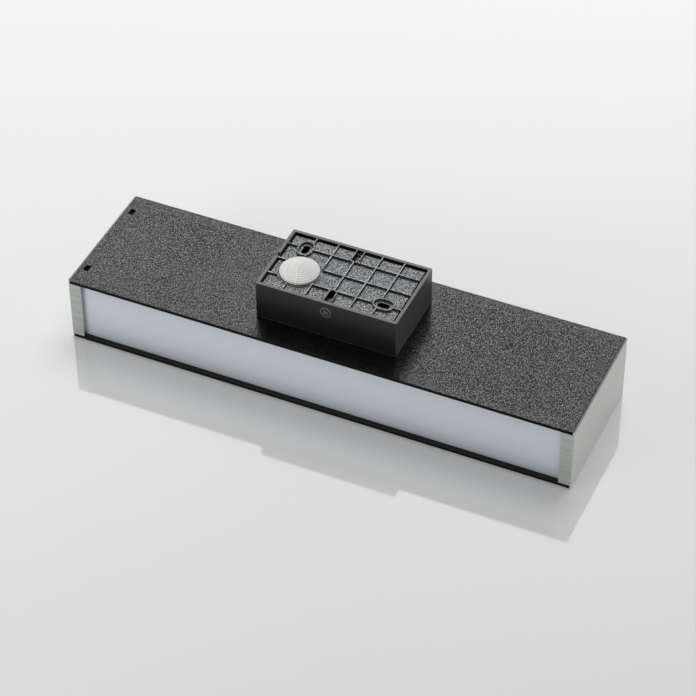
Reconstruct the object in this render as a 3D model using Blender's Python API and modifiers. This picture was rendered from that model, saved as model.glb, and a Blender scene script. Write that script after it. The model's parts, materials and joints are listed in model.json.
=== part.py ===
"""Outdoor wall light with two opal diffusers and a wall box, lying on its front cover.

Metres, +Z up. The origin is on the floor under the middle of the bar. +X runs along the bar,
the lower diffuser faces -Y, the upper one +Y, and the wall box stands on the rear plate with
its rim, which meets the wall, facing +Z.
"""

import math

import bmesh
import bpy
from mathutils import Euler, Matrix, Vector

# Driving dimensions
BAR_LENGTH = 0.400
BAR_WIDTH = 0.108
BAR_HEIGHT = 0.055
BOX_LENGTH = 0.111
BOX_WIDTH = 0.066
BOX_HEIGHT = 0.032

# Clearances and cuts
GAP = 0.0003
OVERRUN = 0.002
SINK = 0.0005
MERGE_DISTANCE = 0.000005

# Front cover and rear plate
PLATE_T = 0.0025
LIP_T = 0.0012
FRONT_LIP_H = 0.0030
REAR_LIP_H = 0.0022
HOOK_T = 0.0015
DIFFUSER_T = 0.0030
DIFFUSER_RECESS = 0.0035
WEEP_LENGTH = 0.004
WEEP_WIDTH = 0.006
WEEP_FROM_END = 0.0066
WEEP_FROM_EDGE = 0.0182

# End caps, their foam gaskets and the bulkheads behind them
CAP_T = 0.0015
CAP_FLANGE = 0.010
CAP_FOLD_R = 0.0012
END_GASKET_T = 0.0015
END_GASKET_RIM = 0.004
BULKHEAD_T = 0.001
BULKHEAD_CORNER_R = 0.002

# Chassis
CHASSIS_WIDTH = 0.044
CHASSIS_WALL = 0.002
WEB_T = 0.003
FLANGE_REACH = 0.002
FLANGE_T = 0.002
PORT = 0.006
PORT_BORE_DEPTH = 0.009
LEAD_HOLE_R = 0.0018

# Light boards
BOARD_T = 0.0016
BOARD_HEIGHT = 0.024
BOARD_END = 0.005
LED_COUNT = 14
LED_LENGTH = 0.0035
LED_WIDTH = 0.0028
LED_H = 0.0008
BOARD_SCREW_PITCHES = 5
CONNECTOR_LENGTH = 0.007
CONNECTOR_WIDTH = 0.004
CONNECTOR_H = 0.004
CONNECTOR_FROM_EDGE = 0.0012

# Driver
DRIVER_FROM_END = 0.025
DRIVER_FROM_BUSH = 0.016
DRIVER_HEIGHT = 0.022
DRIVER_SIDE = 0.001
DRIVER_CORNER_R = 0.002
EAR_LENGTH = 0.010
EAR_WIDTH = 0.012
EAR_T = 0.0015

# Wall box
BOX_WALL = 0.0024
BOX_FLOOR = 0.0022
BOX_CORNER_R = 0.001
GASKET_RECESS = 0.0015
BOX_GASKET_RIM = 0.004
RIM_NOTCH_WIDTH = 0.0045
RIM_NOTCH_DEPTH = 0.002
RIM_NOTCH_Y = 0.0024
POST_LENGTH = 0.010
POST_T = 0.0055
CANOPY_SCREW_INSET = 0.0131
CANOPY_SCREW_EDGE = 0.003

# Wall plate
TRAY_GAP = 0.0004
TRAY_FLOOR = 0.002
POCKET_DEPTH = 0.0017
RIB_T = 0.001
RIB_DROP = 0.0001
RIB_PITCH = 0.0175
RIB_REACH = 0.0014
EDGE_SLOT_WIDTH = 0.005
EDGE_NOTCH_R = 0.0012
TAB_T = 0.0018
TAB_WIDTH = 0.016
TAB_BELOW_SCREW = 0.006
TAB_JOINT = 0.001
BOSS_LENGTH = 0.0164
BOSS_WIDTH = 0.0118
BOSS_WALL = 0.001
BOSS_INSET_X = 0.0143
BOSS_INSET_Y = 0.0134
WALL_SLOT_LENGTH = 0.0095
WALL_SLOT_WIDTH = 0.005

# Cable grommet
GROMMET_R = 0.0148
GROMMET_INSET_X = 0.0209
GROMMET_INSET_Y = 0.0223
GROMMET_RISE = 0.001
DOME_H = 0.007
DOME_STEPS = 10
DOME_POWER = 1.5
DOME_EDGE = 0.0008
DOME_TIP_R = 0.0012
NECK_R = 0.012
GROMMET_LIP_R = 0.0135
GROMMET_LIP_T = 0.0015
GROMMET_WALL = 0.0018
COLLAR_GAP = 0.0007
COLLAR_T = 0.0012
COLLAR_RISE = 0.0006

# Countersunk side screws
SIDE_SCREW_DROP = 0.009
SINK_R = 0.0045
SIDE_HEAD_R = 0.0039
SIDE_HEAD_H = 0.0019
SIDE_HEAD_SET = 0.0004
SIDE_SHANK_R = 0.002
SIDE_TIP = 0.001
RECESS_SPAN = 0.0044
RECESS_WIDTH = 0.0008
RECESS_DEPTH = 0.0013

# Pan head screws, large and small
LARGE_SHANK_R = 0.002
LARGE_HEAD_R = 0.004
LARGE_HEAD_H = 0.0024
LARGE_LENGTH = 0.010
SMALL_SHANK_R = 0.0015
SMALL_HEAD_R = 0.00275
SMALL_HEAD_H = 0.0012
SMALL_LENGTH = 0.006
DRIVER_SCREW_LENGTH = 0.004
SOCKET_SHARE = 0.45
SOCKET_DEPTH_SHARE = 0.6
CROWN_SHARE = 0.8
SCREW_CLEARANCE = 0.0003

# Terminal block and earth lug
BLOCK_LENGTH = 0.030
BLOCK_HEIGHT = 0.014
BLOCK_X = 0.023
POLE_PITCH = 0.008
POLE_SIDES = (-1, 0, 1)
ENTRY_R = 0.0018
ENTRY_DEPTH = 0.007
ENTRY_Z = 0.006
WELL_R = 0.0022
WELL_DEPTH = 0.004
WELL_INSET = 0.006
CLAMP_SCREW_R = 0.0018
CLAMP_SCREW_H = 0.0025
LUG_R = 0.0045
LUG_T = 0.0008
LUG_TAIL = 0.012
LUG_TAIL_WIDTH = 0.0032
LUG_FROM_SCREW = 0.012
LUG_Y = 0.010
BLOCK_SCREW_LENGTH = 0.0165

# Leads and the bush that they pass through
LEAD_R = 0.0011
LEAD_GAP = 0.0003
TURN_SHARES = (0.2, 0.6)
BUSH_X = -0.014
BUSH_Y = -0.005
BUSH_SPREAD = 0.003
BUSH_R = 0.006
BUSH_FLANGE_R = 0.0075
BUSH_FLANGE_T = 0.0018
BUSH_LIP_R = 0.0068
BUSH_LIP_T = 0.0015

# Counts of sides on round pieces
SCREW_SIDES = 10
ROUND_SIDES = 16
GROMMET_SIDES = 28
CORNER_STEPS = 4
ARC_STEPS = 8
ROUTE_STEPS = 3

# Heights, from the floor up
INNER_LOW = PLATE_T + GAP
INNER_HIGH = BAR_HEIGHT - PLATE_T - GAP
MID_Z = BAR_HEIGHT / 2
WEB_LOW = INNER_HIGH - WEB_T
TOE_LOW = INNER_LOW + FLANGE_T + GAP
TOE_HIGH = TOE_LOW + HOOK_T
BOARD_LOW = MID_Z - BOARD_HEIGHT / 2
CONNECTOR_LOW = BOARD_LOW + CONNECTOR_FROM_EDGE
LEAD_HOLE_Z = (TOE_HIGH + BOARD_LOW) / 2
BOX_FOOT = BAR_HEIGHT + GAP
BOX_FLOOR_LOW = BOX_FOOT + GASKET_RECESS
BOX_FLOOR_TOP = BOX_FLOOR_LOW + BOX_FLOOR
RIM_Z = BAR_HEIGHT + BOX_HEIGHT
POCKET_Z = RIM_Z - POCKET_DEPTH
TRAY_LOW = POCKET_Z - TRAY_FLOOR
RIB_TOP = RIM_Z - RIB_DROP
SIDE_SCREW_Z = RIM_Z - SIDE_SCREW_DROP

# Half lengths along the bar, from its ends in
HALF_LENGTH = BAR_LENGTH / 2
PLATE_END = HALF_LENGTH - CAP_T - GAP
BULKHEAD_OUT = PLATE_END - END_GASKET_T - GAP
BULKHEAD_IN = BULKHEAD_OUT - BULKHEAD_T
INNER_END = BULKHEAD_IN - GAP
BOARD_LENGTH = 2 * (INNER_END - BOARD_END)
LED_PITCH = BOARD_LENGTH / LED_COUNT
BOARD_SCREW_X = BOARD_SCREW_PITCHES * LED_PITCH
DRIVER_OUT = DRIVER_FROM_END - INNER_END
DRIVER_IN = BUSH_X - DRIVER_FROM_BUSH
DRIVER_X = (DRIVER_OUT + DRIVER_IN) / 2
DRIVER_LENGTH = DRIVER_IN - DRIVER_OUT - 2 * EAR_LENGTH

# Half widths across the bar, from its faces in
HALF_WIDTH = BAR_WIDTH / 2
DIFFUSER_FACE = HALF_WIDTH - DIFFUSER_RECESS
DIFFUSER_BACK = DIFFUSER_FACE - DIFFUSER_T
LIP_FACE = DIFFUSER_FACE + GAP + LIP_T
BULKHEAD_SIDE = HALF_WIDTH - CAP_T - GAP
CHASSIS_SIDE = CHASSIS_WIDTH / 2
CHASSIS_INSIDE = CHASSIS_SIDE - CHASSIS_WALL
PORT_SIDE = CHASSIS_INSIDE - PORT
PORT_Y = CHASSIS_INSIDE - PORT / 2
BOARD_BACK = CHASSIS_SIDE + GAP
BOARD_FACE = BOARD_BACK + BOARD_T
DRIVER_SIDE_Y = PORT_SIDE - DRIVER_SIDE

# Wall box and wall plate, half sizes
BOX_X = BOX_LENGTH / 2
BOX_Y = BOX_WIDTH / 2
BOX_INSIDE_X = BOX_X - BOX_WALL
BOX_INSIDE_Y = BOX_Y - BOX_WALL
TRAY_X = BOX_INSIDE_X - TRAY_GAP
TRAY_Y = BOX_INSIDE_Y - TRAY_GAP
FLOOR_X = TRAY_X - RIB_REACH
FLOOR_Y = TRAY_Y - RIB_REACH
TAB_INSIDE = TRAY_Y - TAB_T
POST_FACE = TAB_INSIDE - GAP
POST_BACK = POST_FACE - POST_T
GROMMET_X = GROMMET_INSET_X - TRAY_X
GROMMET_Y = GROMMET_INSET_Y - TRAY_Y
BOSS_X = TRAY_X - BOSS_INSET_X
BOSS_Y = TRAY_Y - BOSS_INSET_Y
CANOPY_SCREW_X = BOX_INSIDE_X - CANOPY_SCREW_INSET
CANOPY_SCREW_Y = CHASSIS_INSIDE - CANOPY_SCREW_EDGE
LUG_X = LUG_FROM_SCREW - CANOPY_SCREW_X

FINISHES = {
    "black_plate": ((0.085, 0.085, 0.09), 0.6, 0.3),
    "black_box": ((0.02, 0.02, 0.02), 0.5, 0.2),
    "grey_tray": ((0.12, 0.125, 0.13), 0.55, 0.4),
    "stainless": ((0.62, 0.63, 0.61), 0.25, 1.0),
    "opal": ((0.82, 0.86, 0.9), 0.35, 0.0),
    "white_silicone": ((0.8, 0.8, 0.77), 0.5, 0.0),
    "black_foam": ((0.03, 0.03, 0.03), 0.9, 0.0),
    "bare_aluminium": ((0.6, 0.6, 0.6), 0.4, 1.0),
    "zinc_screw": ((0.5, 0.5, 0.52), 0.35, 1.0),
    "black_screw": ((0.03, 0.03, 0.03), 0.4, 0.8),
    "white_board": ((0.85, 0.85, 0.85), 0.4, 0.0),
    "driver_white": ((0.75, 0.75, 0.75), 0.5, 0.0),
    "block_nylon": ((0.7, 0.7, 0.66), 0.5, 0.0),
    "brass": ((0.7, 0.5, 0.2), 0.3, 1.0),
    "brown_lead": ((0.15, 0.05, 0.02), 0.5, 0.0),
    "blue_lead": ((0.02, 0.06, 0.3), 0.5, 0.0),
    "earth_lead": ((0.15, 0.35, 0.05), 0.5, 0.0),
    "white_lead": ((0.8, 0.8, 0.8), 0.5, 0.0),
}

FLAT_ANGLE = math.radians(1)
ALONG_BAR = (math.pi / 2, 0, math.pi / 2)
UPRIGHT_Y = (math.pi / 2, 0, 0)


def clear_scene():
    for old in list(bpy.data.objects):
        bpy.data.objects.remove(old, do_unlink=True)


def new_collection(name):
    made = bpy.data.collections.new(name)
    bpy.context.scene.collection.children.link(made)
    return made


def finish(name):
    """The material of this name, made on its first use."""
    found = bpy.data.materials.get(name)
    if found:
        return found
    colour, roughness, metallic = FINISHES[name]
    made = bpy.data.materials.new(name)
    made.use_nodes = True
    shader = made.node_tree.nodes["Principled BSDF"]
    shader.inputs["Base Color"].default_value = (*colour, 1.0)
    shader.inputs["Roughness"].default_value = roughness
    shader.inputs["Metallic"].default_value = metallic
    made.diffuse_color = (*colour, 1.0)
    return made


def new_object(name, data, coat, place=(0, 0, 0), turn=(0, 0, 0)):
    made = bpy.data.objects.new(name, data)
    made.location = place
    made.rotation_euler = turn
    if coat:
        data.materials.append(finish(coat))
        PARTS.objects.link(made)
    else:
        CUTTERS.objects.link(made)
        made.hide_render = True
        made.display_type = "WIRE"
    return made


def smoothed(mesh):
    mesh.shade_smooth()
    mesh.set_sharp_from_angle(angle=math.radians(35))
    return mesh


def boxes(name, corners, coat=None, place=(0, 0, 0)):
    """One mesh with a box for each pair of low and high corners."""
    shape = bmesh.new()
    for low, high in corners:
        low, high = Vector(low), Vector(high)
        where = Matrix.Translation((low + high) / 2)
        bmesh.ops.create_cube(shape, size=1, matrix=where @ Matrix.Diagonal((*(high - low), 1)))
    mesh = bpy.data.meshes.new(name)
    shape.to_mesh(mesh)
    shape.free()
    return new_object(name, mesh, coat, place)


def drills(name, spots, radius, low, high, sides=SCREW_SIDES, turn=(0, 0, 0), radius2=None):
    """Round cutters along the object's own Z, from low to high, at each spot of its own XY."""
    shape = bmesh.new()
    for x, y in spots:
        bmesh.ops.create_cone(
            shape,
            cap_ends=True,
            segments=sides,
            radius1=radius,
            radius2=radius if radius2 is None else radius2,
            depth=high - low,
            matrix=Matrix.Translation((x, y, (low + high) / 2)),
        )
    mesh = bpy.data.meshes.new(name)
    shape.to_mesh(mesh)
    shape.free()
    return new_object(name, mesh, None, (0, 0, 0), turn)


def boolean(target, other, operation="DIFFERENCE"):
    step = target.modifiers.new(other.name, "BOOLEAN")
    step.operation = operation
    step.solver = "EXACT"
    step.object = other


def turned(name, profile, coat, place=(0, 0, 0), turn=(0, 0, 0), sides=ROUND_SIDES, ring=False):
    """A profile of (radius, height) points, top to bottom on its outer side, turned about Z."""
    mesh = bpy.data.meshes.new(name)
    count = len(profile)
    edges = [(i, i + 1) for i in range(count - 1)]
    if ring:
        edges.append((count - 1, 0))
    mesh.from_pydata([(r, 0, z) for r, z in profile], edges, [])
    made = new_object(name, mesh, coat, place, turn)
    screw = made.modifiers.new("turn", "SCREW")
    screw.axis = "Z"
    screw.angle = math.tau
    screw.steps = sides
    screw.render_steps = sides
    screw.use_merge_vertices = True
    screw.merge_threshold = MERGE_DISTANCE
    screw.use_smooth_shade = True
    return made


def arc(centre, radius, start, end, steps):
    """Points on an arc, with angles in degrees."""
    angles = [math.radians(start + (end - start) * i / steps) for i in range(steps + 1)]
    return [(centre[0] + radius * math.cos(a), centre[1] + radius * math.sin(a)) for a in angles]


def rectangle(half_x, half_y, radius=0, centre=(0, 0)):
    """A rectangle's outline, with round corners where a radius is given."""
    if not radius:
        signs = ((1, 1), (-1, 1), (-1, -1), (1, -1))
        return [(centre[0] + half_x * i, centre[1] + half_y * j) for i, j in signs]
    points = []
    for i, j, start in ((1, 1, 0), (-1, 1, 90), (-1, -1, 180), (1, -1, 270)):
        corner = (centre[0] + i * (half_x - radius), centre[1] + j * (half_y - radius))
        points += arc(corner, radius, start, start + 90, CORNER_STEPS)
    return points


def obround(length, width, centre, upright):
    """A slot's outline with round ends, along Y where upright, else along X."""
    reach = (length - width) / 2
    points = arc((reach, 0), width / 2, -90, 90, ARC_STEPS)
    points += arc((-reach, 0), width / 2, 90, 270, ARC_STEPS)
    if upright:
        points = [(-y, x) for x, y in points]
    return [(centre[0] + x, centre[1] + y) for x, y in points]


def slab(name, outlines, low, high, coat=None, turn=(0, 0, 0)):
    """Flat outlines extruded from low to high along the object's own Z, as one welded mesh."""
    curve = bpy.data.curves.new(name, "CURVE")
    curve.dimensions = "2D"
    curve.fill_mode = "BOTH"
    curve.extrude = (high - low) / 2
    for outline in outlines:
        spline = curve.splines.new("POLY")
        spline.points.add(len(outline) - 1)
        for point, (x, y) in zip(spline.points, outline):
            point.co = (x, y, 0, 1)
        spline.use_cyclic_u = True
    place = Euler(turn).to_matrix() @ Vector((0, 0, (low + high) / 2))
    guide = new_object(name + "_outline", curve, None, place, turn)
    return meshed(guide, name, coat)


def meshed(guide, name, coat):
    """The curve object's shape as a welded mesh object in its place."""
    graph = bpy.context.evaluated_depsgraph_get()
    shape = guide.evaluated_get(graph)
    mesh = bpy.data.meshes.new_from_object(shape)
    mesh.name = name
    mesh.materials.clear()
    place, turn = guide.location.copy(), guide.rotation_euler.copy()
    bpy.data.objects.remove(guide, do_unlink=True)
    work = bmesh.new()
    work.from_mesh(mesh)
    bmesh.ops.remove_doubles(work, verts=work.verts, dist=MERGE_DISTANCE)
    bmesh.ops.recalc_face_normals(work, faces=work.faces)
    # The flat caps become whole faces, because thin triangles along one line break a cut
    bmesh.ops.dissolve_limit(work, angle_limit=FLAT_ANGLE, verts=work.verts, edges=work.edges)
    work.to_mesh(mesh)
    work.free()
    return new_object(name, smoothed(mesh), coat, place, turn)


def route(points):
    """Points on one smooth curve through the given ones."""
    points = [Vector(p) for p in points]
    ends = [2 * points[0] - points[1]] + points + [2 * points[-1] - points[-2]]
    smooth = []
    for before, start, end, after in zip(ends, ends[1:], ends[2:], ends[3:]):
        for i in range(ROUTE_STEPS):
            t = i / ROUTE_STEPS
            smooth.append(
                start
                + (end - before) * (t / 2)
                + (2 * before - 5 * start + 4 * end - after) * (t * t / 2)
                + (3 * start - before - 3 * end + after) * (t * t * t / 2)
            )
    return smooth + [points[-1]]


def lead(name, points, coat):
    """A round insulated conductor along a smooth route."""
    curve = bpy.data.curves.new(name, "CURVE")
    curve.dimensions = "3D"
    curve.bevel_depth = LEAD_R
    curve.bevel_resolution = 2
    curve.use_fill_caps = True
    path = route(points)
    spline = curve.splines.new("POLY")
    spline.points.add(len(path) - 1)
    for point, where in zip(spline.points, path):
        point.co = (*where, 1)
    spline.use_smooth = True
    return new_object(name, curve, coat)


def pan_screw(name, place, turn, shank, head, crown, length, coat="zinc_screw"):
    """A pan head screw whose origin is under its head and whose shank runs along its own -Z."""
    socket = head * SOCKET_SHARE
    floor = crown * (1 - SOCKET_DEPTH_SHARE)
    profile = [
        (0, floor),
        (socket, floor),
        (socket, crown),
        (head * CROWN_SHARE, crown),
        (head, crown * SOCKET_SHARE),
        (head, 0),
        (shank, 0),
        (shank, -length),
        (0, -length),
    ]
    return turned(name, profile, coat, place, turn, SCREW_SIDES)


def make_front_cover():
    """Black cover plate with lips for the diffusers and hooks for the chassis."""
    cover = boxes("front_cover", [((-PLATE_END, -HALF_WIDTH, 0), (PLATE_END, HALF_WIDTH, PLATE_T))],
                  "black_plate")
    boolean(cover, plate_rails("front_cover_rails", FRONT_LIP_H, False), "UNION")
    return cover


def plate_rails(name, lip_height, inverted):
    """Lips either side of each diffuser and hooks round the chassis flanges, as one extrusion."""
    lip_z = PLATE_T + lip_height
    foot = PLATE_T - SINK
    toe_y = CHASSIS_SIDE + GAP
    hook_y = CHASSIS_SIDE + FLANGE_REACH + GAP
    outer = [(LIP_FACE, foot), (LIP_FACE, lip_z), (LIP_FACE - LIP_T, lip_z), (LIP_FACE - LIP_T, foot)]
    back = DIFFUSER_BACK - GAP
    inner = [(back, foot), (back, lip_z), (back - LIP_T, lip_z), (back - LIP_T, foot)]
    hook = [
        (hook_y, foot),
        (hook_y, TOE_LOW),
        (toe_y, TOE_LOW),
        (toe_y, TOE_HIGH),
        (hook_y + HOOK_T, TOE_HIGH),
        (hook_y + HOOK_T, foot),
    ]
    outlines = []
    for side in (-1, 1):
        for outline in (outer, inner, hook):
            points = [(side * y, BAR_HEIGHT - z if inverted else z) for y, z in outline]
            outlines.append(points)
    return slab(name, outlines, -INNER_END, INNER_END, None, ALONG_BAR)


def box_screw_spots():
    """Where the wall box is screwed down: four corner screws and the earth screw."""
    corners = [(i * CANOPY_SCREW_X, j * CANOPY_SCREW_Y) for i in (-1, 1) for j in (-1, 1)]
    return corners + [(LUG_X, LUG_Y)]


def make_rear_plate():
    """Black plate that carries the wall box, with two weep slots near its left end."""
    low = BAR_HEIGHT - PLATE_T
    plate = boxes("rear_plate", [((-PLATE_END, -HALF_WIDTH, low), (PLATE_END, HALF_WIDTH, BAR_HEIGHT))],
                  "black_plate")
    boolean(plate, plate_rails("rear_plate_rails", REAR_LIP_H, True), "UNION")
    weep_x = WEEP_FROM_END - HALF_LENGTH
    weep_y = HALF_WIDTH - WEEP_FROM_EDGE
    slots = []
    for side in (-1, 1):
        start = Vector((weep_x - WEEP_LENGTH / 2, side * weep_y - WEEP_WIDTH / 2, low - OVERRUN))
        slots.append((start, start + Vector((WEEP_LENGTH, WEEP_WIDTH, PLATE_T + 2 * OVERRUN))))
    boolean(plate, boxes("weep_slots", slots))
    cut_box_holes(plate, low - OVERRUN, BAR_HEIGHT + OVERRUN)
    return plate


def cut_box_holes(target, low, high):
    """Holes for the wall box's screws and for the lead bush, from low to high."""
    screws = target.name + "_screw_holes"
    boolean(target, drills(screws, box_screw_spots(), LARGE_SHANK_R + SCREW_CLEARANCE, low, high))
    spot = [(BUSH_X, BUSH_Y)]
    boolean(target, drills(target.name + "_bush_hole", spot, BUSH_R + GAP, low, high, ROUND_SIDES))


def make_end_cap(name, side):
    """Folded sheet that covers one end, with a flange round each front corner."""
    outer = HALF_LENGTH
    inner = HALF_LENGTH - CAP_T
    reach = HALF_LENGTH - CAP_FLANGE
    fold = CAP_FOLD_R
    high = HALF_WIDTH
    points = [(reach, -high)]
    points += arc((outer - fold, fold - high), fold, -90, 0, CORNER_STEPS)
    points += arc((outer - fold, high - fold), fold, 0, 90, CORNER_STEPS)
    points += [(reach, high), (reach, high - CAP_T), (inner, high - CAP_T)]
    points += [(inner, CAP_T - high), (reach, CAP_T - high)]
    cap = slab(name, [[(side * x, y) for x, y in points]], 0, BAR_HEIGHT, "stainless")
    ends = sorted((side * (reach - OVERRUN), side * inner))
    trims = []
    for low, top in ((-OVERRUN, INNER_LOW), (INNER_HIGH, BAR_HEIGHT + OVERRUN)):
        trims.append(((ends[0], -high - OVERRUN, low), (ends[1], high + OVERRUN, top)))
    boolean(cap, boxes(name + "_trims", trims))
    return cap


def make_end(name, side):
    """The gasket, bulkhead and bulkhead screws at one end."""
    middle = (0, MID_Z)
    half_height = (INNER_HIGH - INNER_LOW) / 2
    rim = rectangle(BULKHEAD_SIDE, half_height, BULKHEAD_CORNER_R, middle)
    window = rectangle(BULKHEAD_SIDE - END_GASKET_RIM, half_height - END_GASKET_RIM, 0, middle)
    gasket_x = sorted((side * PLATE_END, side * (PLATE_END - END_GASKET_T)))
    slab(name + "_end_gasket", [rim, window], *gasket_x, "black_foam", ALONG_BAR)
    sheet_x = sorted((side * BULKHEAD_OUT, side * BULKHEAD_IN))
    sheet = slab(name + "_bulkhead", [rim], *sheet_x, "bare_aluminium", ALONG_BAR)
    spots = [(-PORT_Y, MID_Z), (PORT_Y, MID_Z)]
    hole = SMALL_SHANK_R + SCREW_CLEARANCE
    through = (sheet_x[0] - OVERRUN, sheet_x[1] + OVERRUN)
    boolean(sheet, drills(name + "_bulkhead_holes", spots, hole, *through, turn=ALONG_BAR))
    for number, (y, z) in enumerate(spots, 1):
        place = (side * (BULKHEAD_OUT + GAP), y, z)
        pan_screw(f"{name}_bulkhead_screw_{number}", place, (0, side * math.pi / 2, 0),
                  SMALL_SHANK_R, SMALL_HEAD_R, SMALL_HEAD_H, SMALL_LENGTH)


def make_chassis():
    """U-shaped aluminium carrier: web under the rear plate, walls that hold the light boards."""
    flange_y = CHASSIS_SIDE + FLANGE_REACH
    web = ((-INNER_END, -flange_y, WEB_LOW), (INNER_END, flange_y, INNER_HIGH))
    body = boxes("chassis", [web], "bare_aluminium")
    under = (CHASSIS_SIDE, flange_y + OVERRUN, WEB_LOW - OVERRUN, INNER_HIGH - FLANGE_T, OVERRUN)
    boolean(body, boxes("chassis_rebates", [across(side, *under) for side in (-1, 1)]))
    walls, feet = [], []
    for side in (-1, 1):
        walls.append(across(side, CHASSIS_INSIDE, CHASSIS_SIDE, INNER_LOW, WEB_LOW + SINK))
        feet.append(across(side, CHASSIS_SIDE - SINK, flange_y, INNER_LOW, INNER_LOW + FLANGE_T))
        feet.append(across(side, PORT_SIDE, CHASSIS_INSIDE + SINK, MID_Z - PORT / 2, MID_Z + PORT / 2))
    boolean(body, boxes("chassis_walls", walls), "UNION")
    boolean(body, boxes("chassis_feet_and_ports", feet), "UNION")
    cut_box_holes(body, WEB_LOW - OVERRUN, INNER_HIGH + OVERRUN)
    ears = [(x, 0) for x in driver_screw_places()]
    small = SMALL_SHANK_R + SCREW_CLEARANCE
    boolean(body, drills("driver_screw_holes", ears, small, WEB_LOW - OVERRUN, INNER_HIGH + OVERRUN))
    ports = [(-PORT_Y, MID_Z), (PORT_Y, MID_Z)]
    for name, side in (("left", -1), ("right", 1)):
        ends = sorted((side * (INNER_END - PORT_BORE_DEPTH), side * (INNER_END + OVERRUN)))
        boolean(body, drills(name + "_port_bores", ports, small, *ends, turn=ALONG_BAR))
    for name, side in (("lower", -1), ("upper", 1)):
        # Turned about X, the cutter's own Z points to -Y
        ends = sorted((-side * (PORT_SIDE + PORT / 4), -side * (CHASSIS_SIDE + OVERRUN)))
        spots = [(x, MID_Z) for x in (-BOARD_SCREW_X, BOARD_SCREW_X)]
        boolean(body, drills(name + "_board_bores", spots, small, *ends, turn=UPRIGHT_Y))
        ends = sorted((-side * (CHASSIS_INSIDE - OVERRUN), -side * (CHASSIS_SIDE + OVERRUN)))
        way = drills(name + "_lead_hole", [(-LED_PITCH, LEAD_HOLE_Z)], LEAD_HOLE_R, *ends, turn=UPRIGHT_Y)
        boolean(body, way)
    return body


def across(side, inner, outer, low, high, overrun=0):
    """Corners of a strip along the chassis, on one side, between two distances from its middle."""
    y = sorted((side * inner, side * outer))
    return (-INNER_END - overrun, y[0], low), (INNER_END + overrun, y[1], high)


def make_diffuser(name, side):
    """Opal acrylic strip that slides into the lips of both plates."""
    faces = sorted((side * DIFFUSER_BACK, side * DIFFUSER_FACE))
    place = Vector((0, sum(faces) / 2, MID_Z))
    half = Vector((INNER_END, DIFFUSER_T / 2, (INNER_HIGH - INNER_LOW) / 2))
    return boxes(name, [(-half, half)], "opal", place)


def make_light_board(name, side):
    """Aluminium-core board with a row of light packages and a lead connector."""
    half = Vector((BOARD_LENGTH / 2, BOARD_T / 2, BOARD_HEIGHT / 2))
    place = Vector((0, side * (BOARD_BACK + BOARD_T / 2), MID_Z))
    board = boxes(name, [(-half, half)], "white_board", place)
    raised = []
    for i in range(LED_COUNT):
        x = (i - (LED_COUNT - 1) / 2) * LED_PITCH
        raised.append(on_board(side, x, MID_Z, LED_LENGTH, LED_WIDTH, LED_H))
    connector_z = CONNECTOR_LOW + CONNECTOR_WIDTH / 2
    raised.append(
        on_board(side, -LED_PITCH, connector_z, CONNECTOR_LENGTH, CONNECTOR_WIDTH, CONNECTOR_H)
    )
    boolean(board, boxes(name + "_packages", raised), "UNION")
    ends = sorted((-side * (BOARD_BACK - OVERRUN), -side * (BOARD_FACE + OVERRUN)))
    spots = [(x, MID_Z) for x in (-BOARD_SCREW_X, BOARD_SCREW_X)]
    hole = SMALL_SHANK_R + SCREW_CLEARANCE
    boolean(board, drills(name + "_holes", spots, hole, *ends, turn=UPRIGHT_Y))
    for number, (x, z) in enumerate(spots, 1):
        place = (x, side * (BOARD_FACE + GAP), z)
        pan_screw(f"{name}_screw_{number}", place, (-side * math.pi / 2, 0, 0),
                  SMALL_SHANK_R, SMALL_HEAD_R, SMALL_HEAD_H, SMALL_LENGTH)
    return board


def on_board(side, x, z, length, width, height):
    """Corners of a component on a light board's face."""
    depth = sorted((side * (BOARD_FACE - SINK), side * (BOARD_FACE + height)))
    low = (x - length / 2, depth[0], z - width / 2)
    return low, (x + length / 2, depth[1], z + width / 2)


def driver_screw_places():
    reach = (DRIVER_LENGTH + EAR_LENGTH) / 2
    return DRIVER_X - reach, DRIVER_X + reach


def make_driver():
    """Potted driver case under the web, held by a screw through each ear."""
    top = WEB_LOW - GAP
    half_length = DRIVER_LENGTH / 2
    case = slab("driver_case", [rectangle(half_length, DRIVER_SIDE_Y, DRIVER_CORNER_R, (DRIVER_X, 0))],
                top - DRIVER_HEIGHT, top, "driver_white")
    reach = half_length + EAR_LENGTH
    ears = [((DRIVER_X - reach, -EAR_WIDTH / 2, top - EAR_T), (DRIVER_X + reach, EAR_WIDTH / 2, top))]
    boolean(case, boxes("driver_ears", ears), "UNION")
    spots = [(x, 0) for x in driver_screw_places()]
    hole = SMALL_SHANK_R + SCREW_CLEARANCE
    boolean(case, drills("driver_ear_holes", spots, hole, top - EAR_T - OVERRUN, top + OVERRUN))
    for number, (x, y) in enumerate(spots, 1):
        pan_screw(f"driver_screw_{number}", (x, y, top - EAR_T - GAP), (math.pi, 0, 0),
                  SMALL_SHANK_R, SMALL_HEAD_R, SMALL_HEAD_H, DRIVER_SCREW_LENGTH)
    return case


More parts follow.
